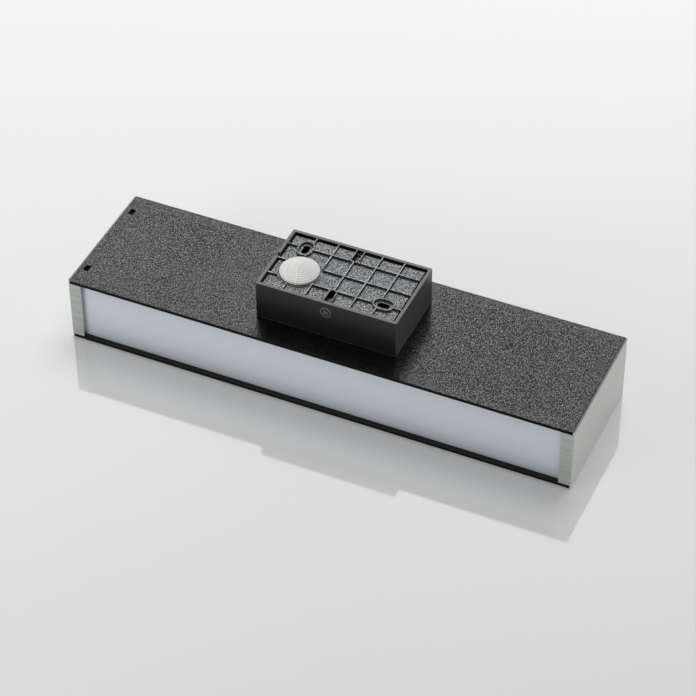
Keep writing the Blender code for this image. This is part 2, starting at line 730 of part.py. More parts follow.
def make_canopy_shell():
    """Die-cast wall box, open towards the wall, with two threaded posts for the side screws."""
    shell = slab("canopy_shell", [rectangle(BOX_X, BOX_Y, BOX_CORNER_R)], BOX_FOOT, RIM_Z, "black_box")
    hollows = []
    for low, high in ((BOX_FLOOR_TOP, RIM_Z + OVERRUN), (BOX_FOOT - OVERRUN, BOX_FLOOR_LOW)):
        hollows.append(((-BOX_INSIDE_X, -BOX_INSIDE_Y, low), (BOX_INSIDE_X, BOX_INSIDE_Y, high)))
    boolean(shell, boxes("canopy_hollows", hollows))
    posts = []
    for side in (-1, 1):
        depth = sorted((side * POST_FACE, side * POST_BACK))
        posts.append(((-POST_LENGTH / 2, depth[0], BOX_FLOOR_TOP - SINK),
                      (POST_LENGTH / 2, depth[1], TRAY_LOW - GAP)))
    boolean(shell, boxes("canopy_posts", posts), "UNION")
    notch_y = RIM_NOTCH_Y - RIM_NOTCH_WIDTH / 2
    notch = ((-BOX_X - OVERRUN, notch_y, RIM_Z - RIM_NOTCH_DEPTH),
             (OVERRUN - BOX_INSIDE_X, notch_y + RIM_NOTCH_WIDTH, RIM_Z + OVERRUN))
    boolean(shell, boxes("rim_notch", [notch]))
    reach = BOX_Y + OVERRUN
    hole = SIDE_SHANK_R + SCREW_CLEARANCE
    way = drills("side_screw_way", [(0, SIDE_SCREW_Z)], hole, -reach, reach, ROUND_SIDES, UPRIGHT_Y)
    boolean(shell, way)
    for name, side in (("front", -1), ("rear", 1)):
        # Turned about X, the cutter's own Z points to -Y
        depth = SINK_R - hole
        outer, inner = -side * (BOX_Y + OVERRUN), -side * (BOX_Y - depth)
        radii = (hole, SINK_R + OVERRUN) if side < 0 else (SINK_R + OVERRUN, hole)
        low, high = sorted((outer, inner))
        cone = drills(name + "_countersink", [(0, SIDE_SCREW_Z)], radii[0], low, high,
                      ROUND_SIDES, UPRIGHT_Y, radii[1])
        boolean(shell, cone)
    cut_box_holes(shell, BOX_FLOOR_LOW - OVERRUN, BOX_FLOOR_TOP + OVERRUN)
    block_hole = SMALL_SHANK_R + SCREW_CLEARANCE
    boolean(shell, drills("block_screw_hole", [(BLOCK_X, POLE_PITCH / 2)], block_hole,
                          BOX_FLOOR_LOW - OVERRUN, BOX_FLOOR_TOP + OVERRUN))
    return shell


def make_canopy_gasket():
    """Flat rubber ring between the wall box and the rear plate."""
    rim_x, rim_y = BOX_INSIDE_X - GAP, BOX_INSIDE_Y - GAP
    window = rectangle(rim_x - BOX_GASKET_RIM, rim_y - BOX_GASKET_RIM)
    return slab("canopy_gasket", [rectangle(rim_x, rim_y), window], BOX_FOOT, BOX_FLOOR_LOW - GAP,
                "black_foam")


def make_box_screws():
    """Four screws and the earth screw, through the box floor and rear plate into the web."""
    names = [f"canopy_screw_{i}" for i in (1, 2, 3, 4)]
    spots = box_screw_spots()
    for name, (x, y) in zip(names, spots):
        pan_screw(name, (x, y, BOX_FLOOR_TOP + GAP), (0, 0, 0),
                  LARGE_SHANK_R, LARGE_HEAD_R, LARGE_HEAD_H, LARGE_LENGTH)
    x, y = spots[-1]
    seat = BOX_FLOOR_TOP + GAP + LUG_T + GAP
    pan_screw("earth_screw", (x, y, seat), (0, 0, 0),
              LARGE_SHANK_R, LARGE_HEAD_R, LARGE_HEAD_H, LARGE_LENGTH, "brass")


def make_earth_lug():
    """Ring terminal under the earth screw, its tail towards the terminal block."""
    half = LUG_TAIL_WIDTH / 2
    start = math.degrees(math.asin(half / LUG_R))
    ring = arc((LUG_X, LUG_Y), LUG_R, start, 360 - start, ROUND_SIDES)
    tail = LUG_X + LUG_TAIL
    outline = ring + [(tail, LUG_Y - half), (tail, LUG_Y + half)]
    low = BOX_FLOOR_TOP + GAP
    lug = slab("earth_lug", [outline], low, low + LUG_T, "zinc_screw")
    hole = LARGE_SHANK_R + SCREW_CLEARANCE
    boolean(lug, drills("earth_lug_hole", [(LUG_X, LUG_Y)], hole, low - OVERRUN, low + LUG_T + OVERRUN))
    return lug


def make_terminal_block():
    """Three-pole terminal block on the box floor, with clamp screws and a fixing screw."""
    low = BOX_FLOOR_TOP + GAP
    half_width = POLE_PITCH * len(POLE_SIDES) / 2
    half = Vector((BLOCK_LENGTH / 2, half_width, BLOCK_HEIGHT / 2))
    block = boxes("terminal_block", [(-half, half)], "block_nylon", (BLOCK_X, 0, low + BLOCK_HEIGHT / 2))
    top = low + BLOCK_HEIGHT
    reach = BLOCK_LENGTH / 2
    well_x = (BLOCK_X - reach + WELL_INSET, BLOCK_X + reach - WELL_INSET)
    wells = [(x, side * POLE_PITCH) for x in well_x for side in POLE_SIDES]
    boolean(block, drills("clamp_wells", wells, WELL_R, top - WELL_DEPTH, top + OVERRUN))
    entries = [(side * POLE_PITCH, low + ENTRY_Z) for side in POLE_SIDES]
    for name, start, end in (
        ("supply_entries", BLOCK_X + reach - ENTRY_DEPTH, BLOCK_X + reach + OVERRUN),
        ("lamp_entries", BLOCK_X - reach - OVERRUN, BLOCK_X - reach + ENTRY_DEPTH),
    ):
        boolean(block, drills(name, entries, ENTRY_R, start, end, turn=ALONG_BAR))
    fixing = [(BLOCK_X, POLE_PITCH / 2)]
    hole = SMALL_SHANK_R + SCREW_CLEARANCE
    boolean(block, drills("block_fixing_hole", fixing, hole, low - OVERRUN, top + OVERRUN))
    for number, (x, y) in enumerate(wells, 1):
        floor = top - WELL_DEPTH + GAP
        profile = [(0, floor + CLAMP_SCREW_H), (CLAMP_SCREW_R, floor + CLAMP_SCREW_H),
                   (CLAMP_SCREW_R, floor), (0, floor)]
        turned(f"clamp_screw_{number}", profile, "brass", (x, y, 0), sides=SCREW_SIDES)
    pan_screw("terminal_block_screw", (*fixing[0], top + GAP), (0, 0, 0),
              SMALL_SHANK_R, SMALL_HEAD_R, SMALL_HEAD_H, BLOCK_SCREW_LENGTH)
    return block


def make_lead_bush():
    """Silicone bush that seals the two driver leads where they enter the wall box."""
    top = BOX_FLOOR_TOP + GAP + BUSH_FLANGE_T
    low = WEB_LOW - GAP
    profile = [
        (0, top),
        (BUSH_FLANGE_R, top),
        (BUSH_FLANGE_R, BOX_FLOOR_TOP + GAP),
        (BUSH_R, BOX_FLOOR_TOP + GAP),
        (BUSH_R, low),
        (BUSH_LIP_R, low),
        (BUSH_LIP_R, low - BUSH_LIP_T),
        (0, low - BUSH_LIP_T),
    ]
    bush = turned("lead_bush", profile, "black_foam", (BUSH_X, BUSH_Y, 0))
    bores = [(BUSH_X, BUSH_Y - BUSH_SPREAD), (BUSH_X, BUSH_Y + BUSH_SPREAD)]
    radius = LEAD_R + LEAD_GAP
    boolean(bush, drills("bush_bores", bores, radius, low - BUSH_LIP_T - OVERRUN, top + OVERRUN))
    return bush


def make_leads():
    """Leads from the driver to the terminal block and the light boards, and the earth lead."""
    out_x = DRIVER_X + DRIVER_LENGTH / 2 + GAP
    out_z = WEB_LOW - DRIVER_HEIGHT / 2
    block_x = BLOCK_X - BLOCK_LENGTH / 2
    entry_z = BOX_FLOOR_TOP + GAP + ENTRY_Z
    in_block = block_x + ENTRY_DEPTH - 2 * LEAD_GAP
    bush_low = WEB_LOW - GAP - BUSH_LIP_T
    bush_top = BOX_FLOOR_TOP + GAP + BUSH_FLANGE_T
    rise = 4 * LEAD_R
    for name, side, pole, coat in (
        ("live_lead", -1, -POLE_PITCH, "brown_lead"),
        ("neutral_lead", 1, 0, "blue_lead"),
    ):
        y = BUSH_Y + side * BUSH_SPREAD
        half_y = side * BUSH_SPREAD
        lead(name, [
            (out_x, half_y, out_z),
            (out_x + rise, half_y, out_z),
            ((out_x + BUSH_X) / 2, (half_y + y) / 2, out_z + LEAD_R),
            (BUSH_X - rise / 2, y, out_z + rise),
            (BUSH_X, y, bush_low - rise / 2),
            (BUSH_X, y, bush_low - LEAD_R / 2),
            (BUSH_X, y, bush_top),
            (BUSH_X, y, bush_top + LEAD_R),
            (BUSH_X + rise / 2, (y + pole) / 2, entry_z + LEAD_R),
            (block_x - rise, pole, entry_z),
            (block_x - LEAD_R, pole, entry_z),
            (in_block, pole, entry_z),
        ], coat)
    tail = LUG_X + LUG_TAIL
    lug_z = BOX_FLOOR_TOP + GAP + LUG_T / 2
    lead("earth_lead", [
        (tail + GAP, LUG_Y, lug_z + LEAD_R),
        (tail + rise, LUG_Y, lug_z + LEAD_R + GAP),
        ((tail + block_x) / 2, (LUG_Y + POLE_PITCH) / 2, (lug_z + entry_z) / 2 + LEAD_R),
        (block_x - rise, POLE_PITCH, entry_z),
        (block_x - LEAD_R, POLE_PITCH, entry_z),
        (in_block, POLE_PITCH, entry_z),
    ], "earth_lead")
    connector_y = BOARD_FACE + CONNECTOR_H / 2
    climb = CONNECTOR_LOW - GAP - LEAD_HOLE_Z
    low_z = out_z - DRIVER_HEIGHT / 4
    for name, side in (("lower_board_lead", -1), ("upper_board_lead", 1)):
        y = side * 2 * BUSH_SPREAD
        lead(name, [
            (out_x, y, low_z),
            (out_x + rise, y, low_z - LEAD_R),
            (-LED_PITCH - rise / 2, y + side * rise / 2, (low_z + LEAD_HOLE_Z) / 2),
            (-LED_PITCH, side * (CHASSIS_INSIDE - 2 * rise), LEAD_HOLE_Z + LEAD_R),
            (-LED_PITCH, side * (CHASSIS_INSIDE - rise / 2), LEAD_HOLE_Z),
            (-LED_PITCH, side * CHASSIS_SIDE, LEAD_HOLE_Z),
            (-LED_PITCH, side * (connector_y - LEAD_R), LEAD_HOLE_Z + climb * TURN_SHARES[0]),
            (-LED_PITCH, side * connector_y, LEAD_HOLE_Z + climb * TURN_SHARES[1]),
            (-LED_PITCH, side * connector_y, LEAD_HOLE_Z + climb),
        ], "white_lead")


def rib_gaps():
    """Spans between the ribs: the rows across the wall plate, each with its columns."""
    half = RIB_T / 2
    slot = EDGE_SLOT_WIDTH / 2 + RIB_T
    end_x, end_y = TRAY_X + OVERRUN, TRAY_Y + OVERRUN
    outer_columns = [(-end_x, -2 * RIB_PITCH - half), (half - 2 * RIB_PITCH, -RIB_PITCH - half),
                     (half - RIB_PITCH, -slot)]
    outer_columns += [(-high, -low) for low, high in reversed(outer_columns)]
    inner_columns = outer_columns[:2] + [(half - RIB_PITCH, -half), (half, RIB_PITCH - half)]
    inner_columns += outer_columns[-2:]
    return [
        (-end_y, -RIB_PITCH - half, outer_columns),
        (half - RIB_PITCH, -half, inner_columns),
        (half, RIB_PITCH - half, inner_columns),
        (RIB_PITCH + half, end_y, outer_columns),
    ]


def tray_pockets():
    """Corners of the pockets between the ribs of the wall plate, open past the floor's edge."""
    pockets = []
    for y0, y1, columns in rib_gaps():
        for x0, x1 in columns:
            pockets.append(((x0, y0, POCKET_Z), (x1, y1, RIM_Z + OVERRUN)))
    return pockets


def edge_openings():
    """Corners of the cuts past the floor's long edges and its ends, which only ribs cross."""
    low, high = TRAY_LOW - OVERRUN, RIM_Z + OVERRUN
    rows = rib_gaps()
    along = []
    for x0, x1 in rows[0][2]:
        for y0, y1 in ((rows[0][0], -FLOOR_Y), (FLOOR_Y, rows[-1][1])):
            along.append(((x0, y0, low), (x1, y1, high)))
    across = []
    for y0, y1, columns in rows:
        for x0, x1 in ((columns[0][0], -FLOOR_X), (FLOOR_X, columns[-1][1])):
            across.append(((x0, y0, low), (x1, y1, high)))
    return along, across


def make_wall_plate():
    """Ribbed plate that is screwed to the wall, with a slotted tab behind each long wall."""
    plate = slab("wall_plate", [rectangle(TRAY_X, TRAY_Y)], TRAY_LOW, RIB_TOP, "grey_tray")
    boolean(plate, boxes("pockets", tray_pockets()))
    along, across = edge_openings()
    boolean(plate, boxes("openings_along", along))
    boolean(plate, boxes("openings_across", across))
    add_collar(plate)
    add_bosses(plate)
    edge_slots = [edge_slot_outline(side) for side in (-1, 1)]
    boolean(plate, slab("edge_slots", edge_slots, TRAY_LOW - OVERRUN, RIM_Z + OVERRUN))
    half = EDGE_SLOT_WIDTH / 2
    for name, side in (("front", -1), ("rear", 1)):
        # Turned about X, the outline's own Z points to -Y
        depth = sorted((-side * TAB_INSIDE, -side * TRAY_Y))
        tab = slab(name + "_tab", [tab_outline()], *depth, None, UPRIGHT_Y)
        boolean(plate, tab, "UNION")
        low, high = sorted((side * POST_BACK, side * (TRAY_Y + OVERRUN)))
        mouth = ((-half, low, TRAY_LOW + TAB_JOINT), (half, high, RIM_Z + OVERRUN))
        boolean(plate, boxes(name + "_slot_mouth", [mouth]))
    return plate


def edge_slot_outline(side):
    """A slot from a tab inwards, with a small half-round notch in the middle of its inner end."""
    half = EDGE_SLOT_WIDTH / 2
    inner = RIB_PITCH + RIB_T
    points = [(-half, POST_FACE), (-half, inner)] + arc((0, inner), EDGE_NOTCH_R, 180, 360, ARC_STEPS)
    return [(x, side * y) for x, y in points + [(half, inner), (half, POST_FACE)]]


def tab_outline():
    """A tab in the XZ plane with a slot that is open at its lower end."""
    half = TAB_WIDTH / 2
    low = SIDE_SCREW_Z - TAB_BELOW_SCREW
    top = TRAY_LOW + TAB_JOINT
    slot = SIDE_SHANK_R + SCREW_CLEARANCE
    points = [(-slot, low), (-half, low), (-half, top), (half, top), (half, low), (slot, low)]
    return points + arc((0, SIDE_SCREW_Z), slot, 0, 180, ARC_STEPS)


def add_collar(plate):
    """Low round collar that the ribs stop at, and the hole for the grommet's neck."""
    centre = [(GROMMET_X, GROMMET_Y)]
    inside = GROMMET_R + COLLAR_GAP
    outside = inside + COLLAR_T
    collar_top = POCKET_Z + COLLAR_RISE
    top = RIM_Z + OVERRUN
    ring = drills("collar", centre, outside, POCKET_Z - SINK, collar_top, GROMMET_SIDES)
    boolean(plate, ring, "UNION")
    boolean(plate, drills("rib_ends", centre, outside, collar_top, top, GROMMET_SIDES))
    boolean(plate, drills("collar_inside", centre, inside, POCKET_Z, top, GROMMET_SIDES))
    hole = drills("neck_hole", centre, NECK_R + GAP, TRAY_LOW - OVERRUN, top, GROMMET_SIDES)
    boolean(plate, hole)


def add_bosses(plate):
    """Two ringed slots for the wall screws, one along each direction."""
    for name, x, y, upright in (("upper_boss", -BOSS_X, BOSS_Y, True),
                                ("lower_boss", BOSS_X, -BOSS_Y, False)):
        outer = obround(BOSS_LENGTH, BOSS_WIDTH, (x, y), upright)
        boolean(plate, slab(name, [outer], POCKET_Z - SINK, RIB_TOP), "UNION")
        rim = 2 * BOSS_WALL
        inner = obround(BOSS_LENGTH - rim, BOSS_WIDTH - rim, (x, y), upright)
        boolean(plate, slab(name + "_inside", [inner], POCKET_Z, RIM_Z + OVERRUN))
        slot = obround(WALL_SLOT_LENGTH, WALL_SLOT_WIDTH, (x, y), upright)
        boolean(plate, slab(name + "_slot", [slot], TRAY_LOW - OVERRUN, RIM_Z + OVERRUN))


def make_grommet():
    """Silicone cable entry: a stepped dome over a grooved neck, hollow from below."""
    shoulder = RIM_Z + GROMMET_RISE
    seat = POCKET_Z + GAP
    profile = [(0, shoulder + DOME_H)]
    edge = GROMMET_R - DOME_EDGE
    for step in range(DOME_STEPS):
        radius = DOME_TIP_R + (edge - DOME_TIP_R) * step / DOME_STEPS
        for share in (step / DOME_STEPS, (step + 1) / DOME_STEPS):
            profile.append((radius, shoulder + DOME_H * (1 - share**DOME_POWER)))
    profile += [
        (edge, shoulder),
        (GROMMET_R, shoulder - DOME_EDGE),
        (GROMMET_R, seat),
        (NECK_R, seat),
        (NECK_R, TRAY_LOW - GAP),
        (GROMMET_LIP_R, TRAY_LOW - GAP),
        (GROMMET_LIP_R, TRAY_LOW - GAP - GROMMET_LIP_T),
        (NECK_R - GROMMET_WALL, TRAY_LOW - GAP - GROMMET_LIP_T),
        (NECK_R - GROMMET_WALL, shoulder - GROMMET_WALL / 2),
        (0, shoulder + DOME_H - 2 * GROMMET_WALL),
    ]
    return turned("cable_grommet", profile, "white_silicone", (GROMMET_X, GROMMET_Y, 0),
                  sides=GROMMET_SIDES)


def make_side_screw(name, side):
    """Countersunk screw through the box wall and the tab into the post."""
    head = -SIDE_HEAD_H
    length = BOX_Y - SIDE_HEAD_SET - POST_BACK + SIDE_TIP
    profile = [
        (0, 0),
        (SIDE_HEAD_R, 0),
        (SIDE_SHANK_R, head),
        (SIDE_SHANK_R, -length),
        (0, -length),
    ]
    place = (0, side * (BOX_Y - SIDE_HEAD_SET), SIDE_SCREW_Z)
    turn = (-side * math.pi / 2, 0, 0)
    screw = turned(name, profile, "black_screw", place, turn)
    for mark, across, along in (("a", RECESS_SPAN, RECESS_WIDTH), ("b", RECESS_WIDTH, RECESS_SPAN)):
        slot = boxes(f"{name}_recess_{mark}", [((-across / 2, -along / 2, -RECESS_DEPTH),
                                               (across / 2, along / 2, OVERRUN))])
        slot.parent = screw
        boolean(screw, slot)
    return screw


def add_travel_axes(plate, grommet):
    """An empty at the wall plate's slide, which the plate and the grommet hang from."""
    slide = bpy.data.objects.new("wall_plate_slide", None)
    slide.location = (0, 0, RIM_Z)
    PARTS.objects.link(slide)
    bpy.context.view_layer.update()
    for piece in (plate, grommet):
        piece.parent = slide
        piece.matrix_parent_inverse = slide.matrix_world.inverted()


clear_scene()
PARTS = new_collection("outdoor_wall_light")
CUTTERS = new_collection("cutters")


def main():
    make_front_cover()
    make_rear_plate()
    for name, side in (("left", -1), ("right", 1)):
        make_end_cap(name + "_end_cap", side)
        make_end(name, side)
    make_chassis()
    for name, side in (("lower", -1), ("upper", 1)):
        make_diffuser(name + "_diffuser", side)
        make_light_board(name + "_light_board", side)
    make_driver()
    make_canopy_shell()
    make_canopy_gasket()
    make_box_screws()
    make_earth_lug()
    make_terminal_block()
    make_lead_bush()
    make_leads()
    add_travel_axes(make_wall_plate(), make_grommet())
    make_side_screw("side_screw_front", -1)
    make_side_screw("side_screw_rear", 1)


main()
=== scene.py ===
"""Looks of an outdoor wall light that lies on its front cover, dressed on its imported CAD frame.

Metres, +Z up, in the frame of the CAD. The bar runs along X, the visible opal strip faces -Y,
and the wall box stands on the rear plate with its ribbed wall plate facing +Z.
"""

import json
import math
from functools import partial

import bmesh
import bpy
from bpy.props import FloatProperty, FloatVectorProperty, IntProperty, PointerProperty
from mathutils import Matrix, Vector


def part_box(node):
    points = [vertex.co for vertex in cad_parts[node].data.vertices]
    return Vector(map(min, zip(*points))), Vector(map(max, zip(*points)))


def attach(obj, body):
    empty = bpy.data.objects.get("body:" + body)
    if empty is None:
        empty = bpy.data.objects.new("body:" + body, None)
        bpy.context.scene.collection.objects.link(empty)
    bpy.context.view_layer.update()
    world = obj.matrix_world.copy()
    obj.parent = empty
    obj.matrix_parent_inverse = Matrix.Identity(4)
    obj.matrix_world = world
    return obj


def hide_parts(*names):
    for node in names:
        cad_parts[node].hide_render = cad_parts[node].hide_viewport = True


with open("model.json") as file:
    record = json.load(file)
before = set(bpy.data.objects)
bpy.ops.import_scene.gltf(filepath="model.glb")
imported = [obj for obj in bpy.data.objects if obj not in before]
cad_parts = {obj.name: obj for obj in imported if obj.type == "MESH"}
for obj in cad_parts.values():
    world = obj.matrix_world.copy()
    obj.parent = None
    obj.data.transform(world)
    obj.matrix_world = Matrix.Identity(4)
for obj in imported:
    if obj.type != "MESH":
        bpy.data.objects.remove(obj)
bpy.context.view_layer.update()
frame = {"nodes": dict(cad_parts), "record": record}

bl_info = {
    "name": "Outdoor Wall Light",
    "version": (1, 0, 0),
    "blender": (4, 5, 0),
    "location": "3D View > Sidebar > Wall Light",
    "description": "Dresses an outdoor wall light with two opal strips and a wall box",
    "category": "Object",
}

WELD = 0.000002
FLAT_ANGLE = math.radians(1)
EDGE_ANGLE = math.radians(40)
UP = (0.0, 0.0, 1.0)
PALEST = 0.98

# How far joined shapes sink into each other, how far cutters run past, and the gap that parts need
SINK = 0.0002
OVERRUN = 0.002
CLEARANCE = 0.0003

# Heights and places of the wall plate, from the frame
TRAY_LOW_CORNER, TRAY_HIGH_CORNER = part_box("wall_plate")
TRAY_X, TRAY_Y, RIB_TOP = TRAY_HIGH_CORNER
RIM_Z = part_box("canopy_shell")[1].z
TRAY_FLOOR = 0.002
POCKET_DEPTH = 0.0017
POCKET_Z = RIM_Z - POCKET_DEPTH
TRAY_LOW = POCKET_Z - TRAY_FLOOR
RIB_REACH = 0.0014
FLOOR_X = TRAY_X - RIB_REACH
FLOOR_Y = TRAY_Y - RIB_REACH
RIB_T = 0.001
RIB_PITCH = 0.0175
RIB_STEP = 0.0001
COLLAR_GAP = 0.0007
COLLAR_T = 0.0012
COLLAR_RISE = 0.0006
BOSS_LENGTH = 0.0164
BOSS_WIDTH = 0.0118
BOSS_WALL = 0.001
BOSS_CENTRES = ((-0.0384, 0.0168, True), (0.0384, -0.0168, False))
WALL_SLOT_LENGTH = 0.0095
WALL_SLOT_WIDTH = 0.005
EDGE_SLOT_WIDTH = 0.005
EDGE_NOTCH_R = 0.0012
TAB_T = 0.0018
TAB_HALF = 0.008
TAB_JOINT = 0.001
TAB_SLOT = 0.0023
SIDE_SCREW_Z = RIM_Z - 0.009

# The cable grommet, from the frame
GROMMET_LOW, GROMMET_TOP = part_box("cable_grommet")
GROMMET_PLACE = Vector(((GROMMET_LOW.x + GROMMET_TOP.x) / 2, (GROMMET_LOW.y + GROMMET_TOP.y) / 2, 0))
GROMMET_R = (GROMMET_TOP.x - GROMMET_LOW.x) / 2
GROMMET_ROUND = 0.0008
GROMMET_EDGE = GROMMET_R - GROMMET_ROUND
GROMMET_SHOULDER = RIM_Z + 0.001
GROMMET_RISE = GROMMET_TOP.z - GROMMET_SHOULDER
NECK_R = 0.012
NECK_WALL = 0.0018
LIP_R = 0.0135
SEAT_BEVEL = 0.0003
LIP_BEVEL = 0.0002
FOOT_BEVEL = 0.0005
HOLLOW_DROP = 0.0009
MOULD_LINE_WAY = Vector((0.0039, -0.0157, 0)).normalized()

# The front cover's plate and the light boards
FRONT_PLATE_TOP = 0.0025
BOARD_FACE_BACK = 0.0032
WINDOW_T = 0.0001

# Each point across a flute, as a share of the flutes' pitch and of their depth
FLUTE = ((0.0, 0.0), (0.15, 0.7), (0.5, 1.0), (0.85, 0.7))

# Shank radius, head radius and crown height of the pan head screws
LARGE_SCREW = (0.0020, 0.0040, 0.0024)
SMALL_SCREW = (0.0015, 0.00275, 0.0012)

# Shank radius, head radius and head depth of the countersunk screws
SIDE_SCREW = (0.0020, 0.0039, 0.0019)

# What all screws share: facets, and the thread's pitch, root and tip
SCREW_SIDES = 28
THREAD_PITCH = 0.0007
THREAD_ROOT_SHARE = 0.84
TIP_SHARE = 0.6
TIP_LENGTH = 0.0012

# The stage
TABLE_RADIUS = 6.0
TABLE_SIDES = 96
SENSOR_WIDTH = 36.0
LAMP_AIM = Vector((0, 0, 0.03))

# The kind of a socket by the type of its default, and the finishes, filled in when they are mixed
SOCKET_KINDS = {float: "Float", int: "Int", tuple: "Vector"}
FINISHES = {}


def length(name, about, default):
    return FloatProperty(name=name, description=about, default=default, min=0.0, unit="LENGTH", precision=5)


def tone(name, about, default):
    return FloatVectorProperty(name=name, description=about, default=default, subtype="COLOR",
                               min=0.0, max=1.0)


def power(name, about, default):
    return FloatProperty(name=name, description=about, default=default, min=0.0, unit="POWER")


class WallLightSizes(bpy.types.PropertyGroup):
    """Sizes of the details that the dressed pieces add to the CAD shapes."""

    plate_edge: length("Plate edge", "Radius of the coated edges of the rear plate and front cover", 0.0003)
    cover_lip: length("Cover lip", "Height of the lip below each opal strip, above the front cover", 0.0007)
    cap_edge: length("Cap edge", "Radius of the deburred edges of the end caps", 0.0002)
    box_edge: length("Box edge", "Radius of the cast edges of the wall box", 0.0004)
    tray_edge: length("Tray edge", "Radius of the edges of the wall plate", 0.00015)
    board_edge: length("Board edge", "Radius of the edges of the light boards", 0.0001)
    moulded_edge: length("Moulded edge", "Radius of the edges of the terminal block and lead bush", 0.0004)
    lug_edge: length("Lug edge", "Radius of the edges of the earth lug", 0.00015)
    carrier_edge: length("Carrier edge", "Radius of the edges of the chassis, bulkheads and driver case",
                         0.0002)
    rib_width: length("Rib width", "Width of the wall plate's ribs", RIB_T)
    rib_crown: length("Rib crown", "Radius along the top of each rib", 0.00025)
    strip_edge: length("Strip edge", "Chamfer along the face of each opal strip", 0.0003)
    flute_pitch: length("Flute pitch", "Distance between the flutes on the back of the opal strips", 0.002)
    flute_depth: length("Flute depth", "Depth of the flutes on the back of the opal strips", 0.0005)
    dome_rings: IntProperty(name="Grommet rings", description="Steps moulded round the grommet's dome",
                            default=10, min=1, max=30)
    dome_bulge: FloatProperty(name="Grommet bulge", description="1 is a cone, higher numbers are rounder",
                              default=1.5, min=1.0, max=3.0)
    mould_line: length("Mould line", "Radius of the moulding line down the grommet", 0.00055)
    light_count: IntProperty(name="Lights", description="Light packages on each board", default=14, min=1)
    window_length: length("Light window length", "Length of each package's window", 0.0026)
    window_width: length("Light window width", "Width of each package's window", 0.0020)
    recess_share: FloatProperty(name="Recess share", description="Span of a cross recess over its head",
                                default=0.56, min=0.2, max=0.8, subtype="FACTOR")


class WallLightColours(bpy.types.PropertyGroup):
    """Colours of the finishes, as they look under plain light, but for the painted light and shade noted."""

    coat: tone("Sandy coat", "Ground of the plates' sandy powder coat", (0.003, 0.003, 0.0032))
    coat_grain: tone("Sandy coat grain", "Raised grain of the powder coat", (0.079, 0.078, 0.082))
    # Painted light: a paler tone on the top of the front cover's ledge
    ledge: tone("Ledge", "Front cover's ledge below each opal strip", (0.040, 0.042, 0.042))
    box: tone("Box coat", "Smooth black coat of the wall box", (0.004, 0.004, 0.004))
    # Painted highlight: a pale tone along the box's edges
    box_edge: tone("Box edges", "Where the box's coat is thin on its edges", (0.230, 0.231, 0.230))
    # Painted light: a paler tone on the box's top faces
    box_top_painted_light: tone("Box rim", "Coat of the box's level faces", (0.020, 0.021, 0.021))
    # Painted light: a paler tone on the box's right side
    box_right_painted_light: tone("Box side", "Paler coat of the box's right side", (0.060, 0.060, 0.059))
    # Painted shade: this dark first tone is left on the wall plate's sides and pocket walls
    tray: tone("Wall plate", "Grey coat of the wall plate", (0.012, 0.013, 0.014))
    tray_grain: tone("Wall plate grain", "Lighter grain of the wall plate", (0.150, 0.154, 0.158))
    # Painted highlight: a pale tone along the wall plate's edges and on its ribs' tops
    tray_painted_highlight: tone("Wall plate edges", "Worn edges of the wall plate's ribs", (0.300, 0.305, 0.310))
    steel: tone("Steel", "Satin stainless steel of the end caps", (0.80, 0.81, 0.79))
    steel_grain: tone("Steel grain", "Darker lines of the steel's satin grain", (0.66, 0.67, 0.65))
    # Painted shade: the flanges' tone is darker than the end panel's; its faint green is the steel's own
    flange_tint_and_painted_shade: tone("Flange", "Faintly green grain of the caps' folded flanges", (0.70, 0.745, 0.70))
    # Painted shade: a dark tone on the end caps' top edges
    sheared: tone("Sheared edge", "Dark sheared edges of the end caps' sheet", (0.060, 0.060, 0.058))
    opal: tone("Opal", "Opal acrylic of the strips", (0.70, 0.76, 0.82))
    silicone: tone("Silicone", "White silicone of the cable grommet", (0.81, 0.81, 0.775))
    rubber: tone("Rubber", "Black foam and rubber of the gaskets", (0.022, 0.022, 0.023))
    aluminium: tone("Aluminium", "Mill finish of the chassis and bulkheads", (0.60, 0.60, 0.61))
    zinc: tone("Zinc", "Bright zinc plating of the inner screws", (0.56, 0.57, 0.60))
    black_steel: tone("Black steel", "Black finish of the side screws", (0.020, 0.020, 0.020))
    worn_steel: tone("Worn steel", "Bare steel where the side screws' edges are worn", (0.60, 0.60, 0.58))
    brass: tone("Brass", "Brass of the clamp and earth screws", (0.66, 0.46, 0.18))
    board: tone("Board", "White solder mask of the light boards", (0.80, 0.80, 0.79))
    phosphor: tone("Phosphor", "Window of a light package", (0.85, 0.66, 0.15))
    nylon: tone("Nylon", "White nylon of the driver case and terminal block", (0.72, 0.71, 0.67))
    brown: tone("Live lead", "Insulation of the live lead", (0.135, 0.050, 0.022))
    blue: tone("Neutral lead", "Insulation of the neutral lead", (0.020, 0.075, 0.330))
    green: tone("Earth lead", "Green of the earth lead", (0.050, 0.230, 0.055))
    yellow: tone("Earth stripe", "Yellow stripe of the earth lead", (0.720, 0.560, 0.045))
    white: tone("White leads", "Insulation of the light boards' leads", (0.76, 0.76, 0.74))
    floor: tone("Floor", "Glossy pale table that the light lies on", (0.63, 0.63, 0.63))


class WallLightStudio(bpy.types.PropertyGroup):
    """Camera and lights."""

    camera_place: FloatVectorProperty(name="Camera place", description="Where the camera stands",
                                      default=(0.62020, -1.36126, 1.38027), subtype="XYZ", unit="LENGTH")
    camera_turn: FloatVectorProperty(name="Camera turn", description="The camera's rotation",
                                     default=(0.831477, 0.003922, 0.422256), subtype="EULER")
    camera_lens: FloatProperty(name="Lens", description="Focal length in millimetres", default=141.53)
    panel_power: power("Panel power", "Power of the rear panel that glosses show", 24.0)
    softbox_power: power("Softbox power", "Power of the softbox at the rear", 14.5)
    side_power: power("Side power", "Power of the softbox at the front left", 3.7)
    room_light: FloatProperty(name="Room light", description="Strength of the even light from all round",
                              default=0.50, min=0.0)
    backdrop: FloatProperty(name="Backdrop", description="Brightness of the room behind the object",
                            default=0.92, min=0.0, max=1.0)


# Node helpers


